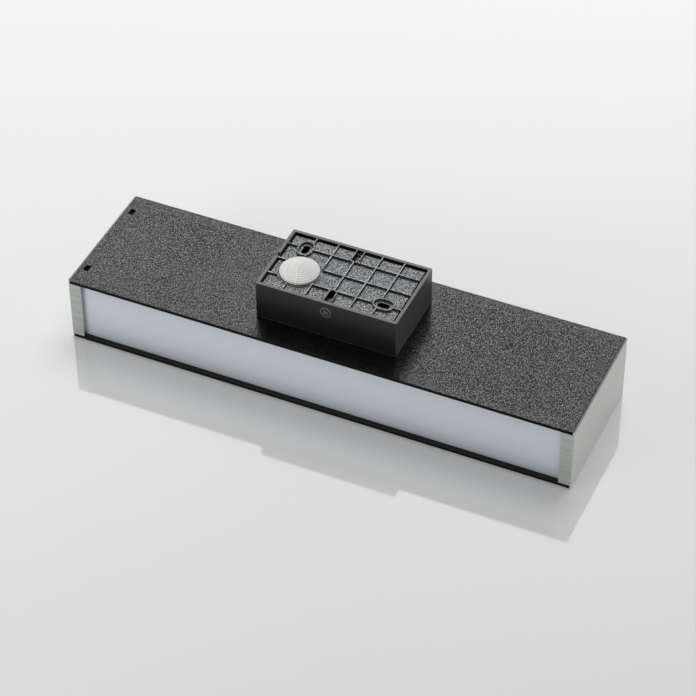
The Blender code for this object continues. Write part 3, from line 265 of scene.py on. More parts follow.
def set_sockets(tree, node, inputs):
    """Sets a node's inputs to values, or joins them to outputs or to the first output of a node."""
    for key, value in inputs.items():
        if isinstance(value, bpy.types.Node):
            value = value.outputs[0]
        if isinstance(value, bpy.types.NodeSocket):
            tree.links.new(value, node.inputs[key])
        else:
            node.inputs[key].default_value = value


def add(tree, kind, inputs=(), **settings):
    """A node of this kind, with its settings and its inputs."""
    made = tree.nodes.new(kind)
    for key, value in settings.items():
        setattr(made, key, value)
    set_sockets(tree, made, dict(inputs))
    return made


def worked(tree, operation, *values, **settings):
    """A sum on numbers."""
    return add(tree, "ShaderNodeMath", enumerate(values), operation=operation, **settings)


def vectors(tree, operation, first, second):
    """The result of a sum on two vectors, which is a number for a dot product."""
    made = add(tree, "ShaderNodeVectorMath", {0: first, 1: second}, operation=operation)
    return made.outputs["Value" if operation == "DOT_PRODUCT" else "Vector"]


def mixed(tree, share, first, second):
    """The colour between two tones, each a colour or an output."""
    ends = [end if isinstance(end, bpy.types.NodeSocket) else (*end, 1) for end in (first, second)]
    return add(tree, "ShaderNodeMix", {0: share, 6: ends[0], 7: ends[1]}, data_type="RGBA").outputs[2]


def noise_on(tree, place, scale, detail):
    return add(tree, "ShaderNodeTexNoise", {"Vector": place, "Scale": scale, "Detail": detail})


def own_place(tree):
    return add(tree, "ShaderNodeTexCoord").outputs["Object"]


def new_tree(name, label, inputs, kind="Float"):
    """A node group with one output, and the sockets of its input node.

    Each input has its name and its default, or its kind in words where it has no default.
    """
    family = "GeometryNodeTree" if kind == "Geometry" else "ShaderNodeTree"
    tree = bpy.data.node_groups.new(name, family)
    for key, default in inputs.items():
        bare = isinstance(default, str)
        socket = default if bare else SOCKET_KINDS[type(default)]
        made = tree.interface.new_socket(name=key, in_out="INPUT", socket_type="NodeSocket" + socket)
        if not bare:
            made.default_value = default
    tree.interface.new_socket(name=label, in_out="OUTPUT", socket_type="NodeSocket" + kind)
    return tree, tree.nodes.new("NodeGroupInput").outputs


def give_out(tree, result):
    """Joins a tree's result to its output."""
    set_sockets(tree, tree.nodes.new("NodeGroupOutput"), {0: result})


def effect(tree, name, **values):
    """One of the shared effects, placed in a material with its own values."""
    return add(tree, "ShaderNodeGroup", values, node_tree=bpy.data.node_groups[name])


# Shared effects of the finishes


def make_grain_effect():
    """Fine grain in the object's own space: a mask from 0 to 1, with more contrast on request."""
    tree, given = new_tree("fine_grain", "Mask", {
        "Scale": 900.0, "Detail": 2.0, "Contrast": 3.0, "Middle": 0.5, "Stretch": (1.0, 1.0, 1.0),
    })
    stretched = vectors(tree, "MULTIPLY", own_place(tree), given["Stretch"])
    # The lattice is turned, so that no face of the object cuts it square and shows its planes
    askew = add(tree, "ShaderNodeVectorRotate", {"Vector": stretched, "Rotation": (0.6, 0.9, 0.4)},
                rotation_type="EULER_XYZ")
    noise = noise_on(tree, askew, given["Scale"], given["Detail"])
    centred = worked(tree, "SUBTRACT", noise, given["Middle"])
    give_out(tree, worked(tree, "MULTIPLY_ADD", centred, given["Contrast"], 0.5, use_clamp=True))


def make_edge_effect():
    """Rubbed edges, and edges in painted highlight and shade: a mask broken up along each edge."""
    tree, given = new_tree("edge_wear", "Mask", {"Radius": 0.0004, "Amount": 1.0, "Breakup": 400.0})
    soft = add(tree, "ShaderNodeBevel", {"Radius": given["Radius"]}, samples=4)
    surface = add(tree, "ShaderNodeNewGeometry")
    along = vectors(tree, "DOT_PRODUCT", soft, surface.outputs["Normal"])
    turned_away = worked(tree, "SUBTRACT", 1.0, along)
    broken = worked(tree, "MULTIPLY", noise_on(tree, own_place(tree), given["Breakup"], 2.0), 7.0)
    strength = worked(tree, "MULTIPLY", broken, given["Amount"])
    give_out(tree, worked(tree, "MULTIPLY", turned_away, strength, use_clamp=True))


def make_facing_effect():
    """Faces that look the way of an axis: a mask that is 1 there and 0 on the other faces."""
    tree, given = new_tree("faces_along", "Mask", {"Axis": UP, "Low": 0.35, "High": 0.75})
    surface = add(tree, "ShaderNodeNewGeometry")
    along = vectors(tree, "DOT_PRODUCT", surface.outputs["Normal"], given["Axis"])
    give_out(tree, add(tree, "ShaderNodeMapRange", {
        "Value": along, "From Min": given["Low"], "From Max": given["High"],
    }))


def make_handling_effect():
    """Faint handling marks: a roughness that drifts over the surface."""
    tree, given = new_tree("handling", "Roughness", {"Roughness": 0.5, "Drift": 0.1, "Scale": 25.0})
    centred = worked(tree, "SUBTRACT", noise_on(tree, own_place(tree), given["Scale"], 4.0), 0.5)
    give_out(tree, worked(tree, "MULTIPLY_ADD", centred, given["Drift"], given["Roughness"], use_clamp=True))


# Finishes


def shade(colour, share):
    """A colour made darker or paler, but no paler than a real surface."""
    return [min(PALEST, c * share) for c in colour]


def finish(name, colour, second, roughness, scale=900.0, detail=2.0, contrast=3.0, middle=0.5,
           stretch=(1.0, 1.0, 1.0), bump=0.3, depth=0.00005, drift=0.08, grain_axis=None, painted_light_by_facing=(),
           edge=None, edge_amount=1.0, edge_radius=0.0004, **constants):
    """A finish of two tones mixed by its grain, with its bump, drifting gloss and an edge tone, which is
    wear on the screws' finish and painted highlight and painted shade on the others.

    Where the grain's axis is set, only faces that look its way have grain, and the others are smooth,
    in the first tone, which paints shade on them. Each row of the facing tones is an axis and the
    two tones that paint light and shade on the faces that look its way.
    Constants are the same all over, and go straight to the shader's own sockets of those names.
    """
    made = bpy.data.materials.new(name)
    made.use_nodes = True
    tree = made.node_tree
    grain = effect(tree, "fine_grain", Scale=scale, Detail=detail, Contrast=contrast, Middle=middle,
                   Stretch=stretch)
    if grain_axis is not None:
        grain = worked(tree, "MULTIPLY", grain, effect(tree, "faces_along", Axis=grain_axis))
    painted = mixed(tree, grain, colour, second)
    # Painted light and shade: each row's tones cover the faces that look its way
    for axis, ground, speck in painted_light_by_facing:
        looking = effect(tree, "faces_along", Axis=axis)
        painted = mixed(tree, looking, painted, mixed(tree, grain, ground, speck))
    if edge is not None:
        # Real wear on the screws' edges; painted highlight and painted shade along the other finishes' edges
        worn = effect(tree, "edge_wear", Radius=edge_radius, Amount=edge_amount)
        painted = mixed(tree, worn, painted, edge)
    set_sockets(tree, tree.nodes["Principled BSDF"], {
        "Base Color": painted,
        "Roughness": effect(tree, "handling", Roughness=roughness, Drift=drift),
        "Normal": add(tree, "ShaderNodeBump", {"Height": grain, "Strength": bump, "Distance": depth}),
        **{key.replace("_", " ").title(): value for key, value in constants.items()},
    })
    made.diffuse_color = (*colour, 1)
    return made


# Slot, finish, colour, the colour's share in its grain, roughness, then the grain's scale, contrast,
# bump and depth, and how metallic the finish is
PLAIN_FINISHES = (
    ("white_silicone", "white_silicone", "silicone", 0.95, 0.46, 220, 1.8, 0.12, 0.00003, 0.0),
    ("black_rubber", "black_foam_rubber", "rubber", 2.2, 0.85, 1600, 3.5, 0.6, 0.0001, 0.0),
    ("zinc_plated_steel", "bright_zinc", "zinc", 0.82, 0.28, 700, 1.6, 0.15, 0.00002, 1.0),
    ("brass", "brass", "brass", 0.8, 0.3, 600, 1.8, 0.15, 0.00002, 1.0),
    ("white_board", "solder_mask", "board", 0.94, 0.35, 300, 1.6, 0.1, 0.00002, 0.0),
    ("phosphor", "phosphor_window", "phosphor", 0.9, 0.25, 1800, 2.0, 0.1, 0.00001, 0.0),
    ("white_nylon", "moulded_nylon", "nylon", 0.92, 0.5, 500, 2.2, 0.25, 0.00004, 0.0),
    ("brown_insulation", "brown_insulation", "brown", 1.3, 0.4, 400, 3.0, 0.1, 0.00005, 0.0),
    ("blue_insulation", "blue_insulation", "blue", 1.3, 0.4, 400, 3.0, 0.1, 0.00005, 0.0),
    ("white_insulation", "white_insulation", "white", 0.93, 0.4, 400, 3.0, 0.1, 0.00005, 0.0),
)


def make_finishes(colours):
    """Every finish, by its material slot in the record or, where it has no slot, by its own name."""
    for slot, name, key, share, roughness, scale, contrast, bump, depth, metallic in PLAIN_FINISHES:
        colour = getattr(colours, key)
        FINISHES[slot] = finish(name, colour, shade(colour, share), roughness, scale=scale,
                                contrast=contrast, bump=bump, depth=depth, metallic=metallic)
    # Painted shade: the sandy coats' edges darken to the coat's ground, and their faces with no grain keep
    # it
    sandy = {"scale": 1300, "detail": 1.0, "contrast": 12.0, "middle": 0.57, "bump": 0.12,
             "depth": 0.00006, "drift": 0.02, "edge": colours.coat, "metallic": 0.85}
    # Painted shade: the wall plate's and ribs' sides keep the dark first tone, and only faces that look up
    # have grain
    cast = {"scale": 1150, "detail": 0.0, "grain_axis": UP, "metallic": 0.85}
    # Painted shade: the flanges' darker tones
    flange_tint_and_painted_shade = (colours.flange_tint_and_painted_shade, shade(colours.flange_tint_and_painted_shade, 0.66))
    FINISHES.update({
        "black_textured_coat": finish(
            "sandy_black_coat", colours.coat, colours.coat_grain, 0.26, grain_axis=UP, edge_amount=2.5,
            edge_radius=0.0008, **sandy),
        # The front cover: painted light on its ledge's top faces
        "front_coat": finish(
            "sandy_front_coat", colours.coat, colours.coat_grain, 0.26, grain_axis=(0, 0, -1),
            edge_amount=4.0, edge_radius=0.0009,
            painted_light_by_facing=[(UP, colours.ledge, shade(colours.ledge, 1.4))], **sandy),
        # The wall box: painted light on its top faces and its right side, and painted highlight along its
        # edges
        "black_smooth_coat": finish(
            "smooth_black_coat", colours.box, shade(colours.box, 2.5), 0.36, scale=700,
            edge=colours.box_edge, edge_amount=2.0, edge_radius=0.0005,
            painted_light_by_facing=[(UP, colours.box_top_painted_light, shade(colours.box_top_painted_light, 1.4)),
                    ((1, 0, 0), colours.box_right_painted_light, shade(colours.box_right_painted_light, 1.4))]),
        # Painted highlight along the wall plate's edges
        "grey_cast_aluminium": finish(
            "grey_wall_plate_coat", colours.tray, colours.tray_grain, 0.42, contrast=7.0, depth=0.0001,
            edge=colours.tray_painted_highlight, edge_amount=2.5, edge_radius=0.0003, **cast),
        # Painted highlight: the ribs' tops are paler than the pockets' floors
        "rib_coat": finish(
            "grey_rib_coat", shade(colours.tray, 5), colours.tray_painted_highlight, 0.42, contrast=4.0, bump=0.2,
            **cast),
        # The end caps: painted shade on the flanges and on the top edges, and painted highlight along the
        # edges
        "satin_stainless": finish(
            "satin_steel", colours.steel, colours.steel_grain, 0.36, scale=60, detail=5.0, contrast=2.6,
            stretch=(0.25, 0.25, 40.0), bump=0.25, depth=0.00003, edge=colours.steel, edge_amount=0.8,
            painted_light_by_facing=[((0, -1, 0), *flange_tint_and_painted_shade), ((0, 1, 0), *flange_tint_and_painted_shade), (UP, colours.sheared, colours.sheared)],
            metallic=1.0),
        "opal_acrylic": finish(
            "opal_acrylic", colours.opal, shade(colours.opal, 0.985), 0.34, scale=14, contrast=1.6,
            bump=0.05, depth=0.00004, drift=0.05, coat_weight=0.15, coat_roughness=0.2),
        # Painted highlight: the mould line is paler than the silicone round it
        "mould_line": finish(
            "silicone_mould_line", shade(colours.silicone, 1.15), shade(colours.silicone, 1.12), 0.4,
            scale=300, contrast=1.5, bump=0.05, depth=0.00001),
        "bare_aluminium": finish(
            "mill_aluminium", colours.aluminium, shade(colours.aluminium, 0.8), 0.38, scale=70, detail=4.0,
            contrast=2.2, stretch=(0.15, 12.0, 12.0), bump=0.2, depth=0.00003, metallic=1.0),
        "black_steel": finish(
            "black_steel", colours.black_steel, shade(colours.black_steel, 2), 0.34, contrast=2.0, bump=0.2,
            depth=0.00002, edge=colours.worn_steel, edge_amount=7.0, edge_radius=0.0005, metallic=0.5),
        "green_yellow_insulation": finish(
            "earth_insulation", colours.green, colours.yellow, 0.4, scale=260, detail=0.0, contrast=12,
            stretch=(0.05, 2.2, 0.05), bump=0.05),
    })


# Mesh helpers


def placed(data, name=None):
    """An object in the scene for a mesh, curve, lamp or camera."""
    made = bpy.data.objects.new(name or data.name, data)
    bpy.context.scene.collection.objects.link(made)
    return made


def plain(holder, others=()):
    """The mesh that a working object's modifiers give. The working objects go."""
    graph = bpy.context.evaluated_depsgraph_get()
    graph.update()
    mesh = bpy.data.meshes.new_from_object(holder.evaluated_get(graph), depsgraph=graph)
    mesh.name = holder.name
    for used in (holder, *others):
        bpy.data.objects.remove(used, do_unlink=True)
    return mesh


def merged_copy(node, name):
    """A CAD node's shape as one welded mesh with whole flat faces."""
    mesh = bpy.data.meshes.new(name)
    work = bmesh.new()
    work.from_mesh(frame["nodes"][node].data)
    bmesh.ops.remove_doubles(work, verts=work.verts, dist=WELD)
    bmesh.ops.dissolve_limit(work, angle_limit=FLAT_ANGLE, verts=work.verts, edges=work.edges)
    work.to_mesh(mesh)
    work.free()
    return mesh


def faced_out(mesh):
    """The mesh with every face turned outwards."""
    work = bmesh.new()
    work.from_mesh(mesh)
    bmesh.ops.recalc_face_normals(work, faces=work.faces)
    work.to_mesh(mesh)
    work.free()
    return mesh


def rounded(mesh, radius, steps=2):
    """The mesh with its sharp edges rounded and its flat faces kept flat."""
    mesh.shade_smooth()
    holder = placed(mesh)
    edge = holder.modifiers.new("edge", "BEVEL")
    edge.width = radius
    edge.segments = steps
    edge.limit_method = "ANGLE"
    edge.angle_limit = EDGE_ANGLE
    flats = holder.modifiers.new("flats", "WEIGHTED_NORMAL")
    flats.mode = "FACE_AREA"
    flats.weight = 100
    flats.keep_sharp = False
    return plain(holder)


def smoothed(mesh, angle):
    """The mesh smooth across edges of less than this angle, in degrees."""
    mesh.shade_smooth()
    mesh.set_sharp_from_angle(angle=math.radians(angle))
    return mesh


def piece(name, mesh, slot, body="lamp", nodes=(), coat=""):
    """A finished piece: its mesh in place, its slot, its body and the CAD nodes it stands for.

    It has its slot's finish, or that of coat. Where coat is None, its mesh keeps its own finishes.
    """
    made = placed(mesh, name)
    mesh.name = name
    if coat is not None:
        mesh.materials.clear()
        mesh.materials.append(FINISHES[coat or slot])
    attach(made, body)
    if nodes:
        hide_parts(*nodes)


def dress(node, suffix, slot, edge=None):
    """A piece with its CAD node's own shape, its edges rounded, or smooth where edge is None."""
    name = node + suffix
    mesh = merged_copy(node, name)
    mesh = smoothed(mesh, 50) if edge is None else rounded(mesh, edge)
    piece(name, mesh, slot, nodes=[node])


def arc(centre, radius, start, end, steps):
    """Points on an arc, with angles in degrees."""
    angles = [math.radians(start + (end - start) * i / steps) for i in range(steps + 1)]
    return [(centre[0] + radius * math.cos(a), centre[1] + radius * math.sin(a)) for a in angles]


def rectangle(low_x, low_y, high_x, high_y):
    return [(low_x, low_y), (high_x, low_y), (high_x, high_y), (low_x, high_y)]


def circle(centre, radius, steps=72):
    return arc(centre, radius, 0, 360, steps)[:-1]


def obround(length_, width, centre, upright):
    """A slot's outline with round ends, along Y where upright, else along X."""
    reach = (length_ - width) / 2
    points = arc((reach, 0), width / 2, -90, 90, 12) + arc((-reach, 0), width / 2, 90, 270, 12)
    if upright:
        points = [(-y, x) for x, y in points]
    return [(centre[0] + x, centre[1] + y) for x, y in points]


def walled(name, low_ring, high_ring):
    """A closed mesh between two flat rings of as many points, anticlockwise from above."""
    count = len(low_ring)
    faces = [tuple(reversed(range(count))), tuple(range(count, 2 * count))]
    for i in range(count):
        after = (i + 1) % count
        faces.append((i, after, count + after, count + i))
    mesh = bpy.data.meshes.new(name)
    mesh.from_pydata(low_ring + high_ring, [], faces)
    return mesh


def raised(name, outline, low, high, turn=None):
    """A flat outline, anticlockwise, raised from low to high along Z, or along the turned Z."""
    mesh = walled(name, [(x, y, low) for x, y in outline], [(x, y, high) for x, y in outline])
    if turn is not None:
        mesh.transform(turn)
    return mesh


def carved(mesh, steps):
    """The mesh after each (operation, mesh) step, as one plain mesh."""
    holder = placed(mesh)
    others = []
    for operation, other in steps:
        others.append(placed(other))
        step = holder.modifiers.new(other.name, "BOOLEAN")
        step.operation = operation
        step.solver = "EXACT"
        step.object = others[-1]
    return plain(holder, others)


def turned(name, profile, sides):
    """A profile of (radius, height) points that starts and ends on the axis, turned about Z."""
    work = bmesh.new()
    rings = []
    for radius, height in profile:
        ring = circle((0, 0), radius, sides) if radius >= WELD else [(0, 0)]
        rings.append([work.verts.new((x, y, height)) for x, y in ring])
    for above, below in zip(rings, rings[1:]):
        for i in range(sides):
            after = (i + 1) % sides
            corners = [above[i % len(above)], below[i % len(below)], below[after % len(below)],
                       above[after % len(above)]]
            whole = list(dict.fromkeys(corners))
            if len(whole) > 2:
                work.faces.new(whole)
    mesh = bpy.data.meshes.new(name)
    work.to_mesh(mesh)
    work.free()
    return faced_out(mesh)


def joined(name, parts):
    """Several meshes as one. Each part is a mesh and the name of its finish."""
    work = bmesh.new()
    for number, (mesh, _) in enumerate(parts):
        start = len(work.faces)
        work.from_mesh(mesh)
        work.faces.ensure_lookup_table()
        for face in work.faces[start:]:
            face.material_index = number
    made = bpy.data.meshes.new(name)
    work.to_mesh(made)
    work.free()
    for _, coat in parts:
        made.materials.append(FINISHES[coat])
    return made


def wire(name, points, edges=()):
    mesh = bpy.data.meshes.new(name)
    mesh.from_pydata(points, edges, [])
    return mesh


# Geometry node trees


def grown(name, mesh, tree_name, coat, values):
    """The plain mesh that a geometry node tree makes from a mesh, a finish and its other inputs."""
    tree = bpy.data.node_groups[tree_name]
    holder = placed(mesh, name)
    step = holder.modifiers.new(tree_name, "NODES")
    step.node_group = tree
    values = {**values, "Finish": FINISHES[coat]}
    for socket in tree.interface.items_tree:
        if socket.item_type == "SOCKET" and socket.in_out == "INPUT" and socket.name in values:
            step[socket.identifier] = values[socket.name]
    return plain(holder)


def give_pieces(tree, given, geometry):
    """Ends a geometry tree: its instances made real, in the given finish."""
    real = add(tree, "GeometryNodeRealizeInstances", {0: geometry})
    give_out(tree, add(tree, "GeometryNodeSetMaterial", {"Geometry": real, "Material": given["Finish"]}))


def make_rib_tree():
    """Ribs: a bar with a rounded crown swept along each line of a wire drawing."""
    tree, given = new_tree("ribs_along_lines", "Ribs", {
        "Lines": "Geometry", "Width": 0.0012, "Height": 0.0028, "Crown": 0.00025, "Finish": "Material",
    }, "Geometry")
    lines = add(tree, "GeometryNodeMeshToCurve", {"Mesh": given["Lines"]})
    upright = add(tree, "GeometryNodeSetCurveNormal", {"Curve": lines}, mode="Z_UP")
    bar = add(tree, "GeometryNodeCurvePrimitiveQuadrilateral", {
        "Width": given["Width"], "Height": given["Height"],
    })
    crown = add(tree, "GeometryNodeFilletCurve", {"Curve": bar, "Radius": given["Crown"], "Count": 3},
                mode="POLY")
    give_pieces(tree, given, add(tree, "GeometryNodeCurveToMesh", {
        "Curve": upright, "Profile Curve": crown, "Fill Caps": True,
    }))


def make_screw_tree():
    """Screws: one screw stood on each point along an axis, each with its own turn."""
    tree, given = new_tree("screws_on_points", "Screws", {
        "Points": "Geometry", "Screw": "Object", "Axis": UP, "Seed": 1, "Finish": "Material",
    }, "Geometry")
    model = add(tree, "GeometryNodeObjectInfo", {"Object": given["Screw"]})
    aimed = add(tree, "FunctionNodeAlignRotationToVector", {"Vector": given["Axis"]}, axis="Z")
    chance = add(tree, "FunctionNodeRandomValue", {2: 0.0, 3: math.tau, "Seed": given["Seed"]},
                 data_type="FLOAT")
    spin = add(tree, "FunctionNodeAxisAngleToRotation", {"Axis": UP, "Angle": chance.outputs[1]})
    driven = add(tree, "FunctionNodeRotateRotation", {"Rotation": aimed, "Rotate By": spin},
                 rotation_space="LOCAL")
    give_pieces(tree, given, add(tree, "GeometryNodeInstanceOnPoints", {
        "Points": given["Points"], "Instance": model.outputs["Geometry"], "Rotation": driven,
    }))


def make_window_tree():
    """Light windows: small plates in a row, centred on a place."""
    tree, given = new_tree("windows_in_a_row", "Windows", {
        "Base": "Geometry", "Count": 14, "Pitch": 0.027, "Size": (0.0026, 0.0002, 0.0020),
        "Place": (0.0, 0.0, 0.0), "Finish": "Material",
    }, "Geometry")
    spans = worked(tree, "SUBTRACT", given["Count"], 1.0)
    back = worked(tree, "MULTIPLY", worked(tree, "MULTIPLY", spans, given["Pitch"]), -0.5)
    start = add(tree, "ShaderNodeCombineXYZ", {"X": back})
    row = add(tree, "GeometryNodeMeshLine", {
        "Count": given["Count"], "Start Location": vectors(tree, "ADD", start, given["Place"]),
        "Offset": add(tree, "ShaderNodeCombineXYZ", {"X": given["Pitch"]}),
    })
    window = add(tree, "GeometryNodeMeshCube", {"Size": given["Size"]})
    give_pieces(tree, given, add(tree, "GeometryNodeInstanceOnPoints", {"Points": row, "Instance": window}))


def make_dome_tree():
    """A turned piece whose top is a dome of moulded steps: a wire profile of radius and height."""
    tree, given = new_tree("stepped_dome", "Piece", {
        "Profile": "Geometry", "Profile Points": 100, "Dome Points": 80, "Sides": 96, "Rings": 10,
        "Radius": 0.014, "Height": 0.007, "Shoulder": 0.088, "Bulge": 1.5, "Step Share": 0.7,
        "Place": (0.0, 0.0, 0.0), "Finish": "Material",
    }, "Geometry")
    sums = partial(worked, tree)
    count = given["Profile Points"]
    grid = add(tree, "GeometryNodeMeshGrid", {
        "Vertices X": sums("ADD", given["Sides"], 1.0), "Vertices Y": count,
    })
    index = add(tree, "GeometryNodeInputIndex")
    side = sums("FLOOR", sums("DIVIDE", sums("ADD", index, 0.5), count))
    along = sums("SUBTRACT", index, sums("MULTIPLY", side, count))
    corner = add(tree, "GeometryNodeSampleIndex", {
        "Geometry": given["Profile"], "Value": add(tree, "GeometryNodeInputPosition"), "Index": along,
    }, data_type="FLOAT_VECTOR")
    parts = add(tree, "ShaderNodeSeparateXYZ", {0: corner})
    radius, height = parts.outputs["X"], parts.outputs["Z"]
    ringed = sums("MULTIPLY", sums("DIVIDE", radius, given["Radius"]), given["Rings"])
    whole = sums("FLOOR", ringed)
    # Each ring keeps its height for six tenths of its width, and then falls to the next one's
    riser = add(tree, "ShaderNodeMapRange", {
        "Value": sums("SUBTRACT", ringed, whole), "From Min": 0.6, "From Max": 1.0,
    }, interpolation_type="SMOOTHSTEP")
    stepped = sums("DIVIDE", sums("ADD", whole, riser), given["Rings"])
    fall = sums("POWER", stepped, given["Bulge"])
    step_height = sums("MULTIPLY_ADD", sums("SUBTRACT", 1.0, fall), given["Height"], given["Shoulder"])
    on_dome = sums("MULTIPLY", sums("LESS_THAN", along, given["Dome Points"]), given["Step Share"])
    z = sums("MULTIPLY_ADD", sums("SUBTRACT", step_height, height), on_dome, height)
    angle = sums("MULTIPLY", sums("DIVIDE", side, given["Sides"]), math.tau)
    x = sums("MULTIPLY", radius, sums("COSINE", angle))
    y = sums("MULTIPLY", radius, sums("SINE", angle))
    spot = add(tree, "ShaderNodeCombineXYZ", {"X": x, "Y": y, "Z": z})
    shaped = add(tree, "GeometryNodeSetPosition", {
        "Geometry": grid, "Position": vectors(tree, "ADD", spot, given["Place"]),
    })
    give_pieces(tree, given, add(tree, "GeometryNodeMergeByDistance", {
        "Geometry": shaped, "Distance": WELD,
    }))


# Shapes of the pieces


def fluted_strip(name, node, side, sizes):
    """An opal strip: chamfered along its face, with light-spreading flutes along its back."""
    low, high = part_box(node)
    face, back = (high.y, low.y) if side > 0 else (low.y, high.y)
    edge = sizes.strip_edge
    inner = face - side * edge
    points = [(back, low.z), (inner, low.z), (face, low.z + edge), (face, high.z - edge), (inner, high.z),
              (back, high.z)]
    pitch = sizes.flute_pitch
    # The flutes stay a pitch or more clear of both edges
    count = int((high.z - low.z) / pitch) - 2
    start = (low.z + high.z) / 2 + count * pitch / 2
    for i in range(count):
        for share, sunk in FLUTE:
            points.append((back + side * sizes.flute_depth * sunk, start - i * pitch - pitch * share))
    points.append((back, start - count * pitch))
    if side < 0:
        points.reverse()
    # The outline is drawn in YZ, so its raised axis is turned to X
    turn = Matrix(((0, 0, 1, 0), (1, 0, 0, 0), (0, 1, 0, 0), (0, 0, 0, 1)))
    return smoothed(faced_out(raised(name, points, low.x, high.x, turn)), 50)


def outside_all(spot, capsules):
    """Whether a point lies clear of every capsule of (start, end, radius)."""
    for start, end, radius in capsules:
        along = end - start
        share = 0.0
        if along.length > 0:
            share = min(1.0, max(0.0, (spot - start).dot(along) / along.length_squared))
        if (spot - start - along * share).length < radius:
            return False
    return True


def rib_lines():
    """Centre lines of the ribs, stopped at the collar and inside the walls of the bosses."""
    collar_r = GROMMET_R + COLLAR_GAP + COLLAR_T - SINK / 4
    capsules = [(GROMMET_PLACE.xy, GROMMET_PLACE.xy, collar_r)]
    reach = (BOSS_LENGTH - BOSS_WIDTH) / 2
    for x, y, upright in BOSS_CENTRES:
        half = Vector((0, reach) if upright else (reach, 0))
        centre = Vector((x, y))
        capsules.append((centre - half, centre + half, BOSS_WIDTH / 2 - BOSS_WALL / 2))
    slot_wall = (EDGE_SLOT_WIDTH + RIB_T) / 2
    slot_end = RIB_PITCH - RIB_T / 2 + SINK
    runs = [((-TRAY_X, 0.0), (TRAY_X, 0.0)), ((0.0, -slot_end), (0.0, slot_end))]
    for y in (-RIB_PITCH, RIB_PITCH):
        runs += [((-TRAY_X, y), (-slot_wall, y)), ((slot_wall, y), (TRAY_X, y))]
    runs += [((i * RIB_PITCH, -TRAY_Y), (i * RIB_PITCH, TRAY_Y)) for i in (-2, -1, 1, 2)]
    lines = []
    for start, end in runs:
        start, end = Vector(start), Vector(end)
        steps = int((end - start).length / RIB_STEP)
        run = []
        for i in range(steps + 1):
            spot = start.lerp(end, i / steps)
            clear = outside_all(spot, capsules)
            if clear:
                run.append(spot)
            if run and (i == steps or not clear):
                # Scraps of a few steps are left out
                if len(run) > 5:
                    lines.append((run[0], run[-1]))
                run = []
    return lines


def edge_slot(side):
    """A slot from a tab inwards, with a half-round notch in the middle of its inner end."""
    half = EDGE_SLOT_WIDTH / 2
    inner, outer = RIB_PITCH + RIB_T, TRAY_Y - TAB_T - CLEARANCE
    points = [(half, outer), (-half, outer), (-half, inner)]
    points += arc((0, inner), EDGE_NOTCH_R, 180, 360, 12) + [(half, inner)]
    return [(side * x, side * y) for x, y in points]


def slot_steps(side):
    """Steps that add an edge slot with its walls, its open mouth and the tab below it."""

    def block(name, half, near, far, low, high):
        """A block between two distances from the middle of the wall plate."""
        ends = sorted((side * near, side * far))
        return raised(name, rectangle(-half, ends[0], half, ends[1]), low, high)

    top = RIM_Z + OVERRUN
    half = EDGE_SLOT_WIDTH / 2
    tab_low = TRAY_LOW_CORNER.z
    tab_top = TRAY_LOW + TAB_JOINT
    tab_in = TRAY_Y - TAB_T
    # The round end is drawn about Z, and its turn points its height towards -Y
    across = Matrix.Translation((0, 0, SIDE_SCREW_Z)) @ Matrix.Rotation(math.pi / 2, 4, "X")
    middle = -side * (TRAY_Y - TAB_T / 2)
    return [
        ("UNION", block("slot_walls", half + RIB_T, RIB_PITCH - RIB_T / 2, TRAY_Y, TRAY_LOW + SINK,
                        RIB_TOP)),
        ("DIFFERENCE", raised("edge_slot", edge_slot(side), TRAY_LOW - OVERRUN, top)),
        ("UNION", block("tab", TAB_HALF, tab_in, TRAY_Y, tab_low, tab_top)),
        ("DIFFERENCE", block("tab_way", TAB_SLOT, tab_in - OVERRUN, TRAY_Y + OVERRUN, tab_low - OVERRUN,
                             SIDE_SCREW_Z)),
        ("DIFFERENCE", raised("tab_round", circle((0, 0), TAB_SLOT, 48), middle - 2 * OVERRUN,
                              middle + 2 * OVERRUN, across)),
        ("DIFFERENCE", block("slot_mouth", half, TRAY_Y - 2 * TAB_T, TRAY_Y + OVERRUN, tab_top, top)),
    ]


def tray_mesh():
    """The wall plate without its ribs: floor, low collar, ringed slots, edge slots and tabs."""
    top = RIM_Z + OVERRUN
    below = TRAY_LOW - OVERRUN
    centre = GROMMET_PLACE.xy
    inside = GROMMET_R + COLLAR_GAP
    collar = raised("collar", circle(centre, inside + COLLAR_T), POCKET_Z - SINK, POCKET_Z + COLLAR_RISE)
    steps = [
        ("UNION", collar),
        ("DIFFERENCE", raised("collar_bore", circle(centre, inside), POCKET_Z, top)),
        ("DIFFERENCE", raised("neck_hole", circle(centre, NECK_R + CLEARANCE), below, top)),
    ]
    for x, y, upright in BOSS_CENTRES:
        boss, bore = [obround(BOSS_LENGTH - cut, BOSS_WIDTH - cut, (x, y), upright)
                      for cut in (0, 2 * BOSS_WALL)]
        slot = obround(WALL_SLOT_LENGTH, WALL_SLOT_WIDTH, (x, y), upright)
        steps += [
            ("UNION", raised("boss", boss, POCKET_Z - SINK, RIB_TOP)),
            ("DIFFERENCE", raised("boss_bore", bore, POCKET_Z, top)),
            ("DIFFERENCE", raised("boss_slot", slot, below, top)),
        ]
    steps += slot_steps(-1) + slot_steps(1)
    floor = rectangle(-FLOOR_X, -FLOOR_Y, FLOOR_X, FLOOR_Y)
    return carved(raised("wall_plate_tray", floor, TRAY_LOW, POCKET_Z), steps)


def dome_point(share):
    """Radius and height of the dome's smooth form, from 0 at its tip to 1 at its shoulder."""
    bulge = bpy.context.scene.wall_light_sizes.dome_bulge
    return GROMMET_EDGE * share, GROMMET_SHOULDER + GROMMET_RISE * (1 - share**bulge)


def shoulder_arc(start, end, steps):
    return arc((GROMMET_EDGE, GROMMET_SHOULDER - GROMMET_ROUND), GROMMET_ROUND, start, end, steps)


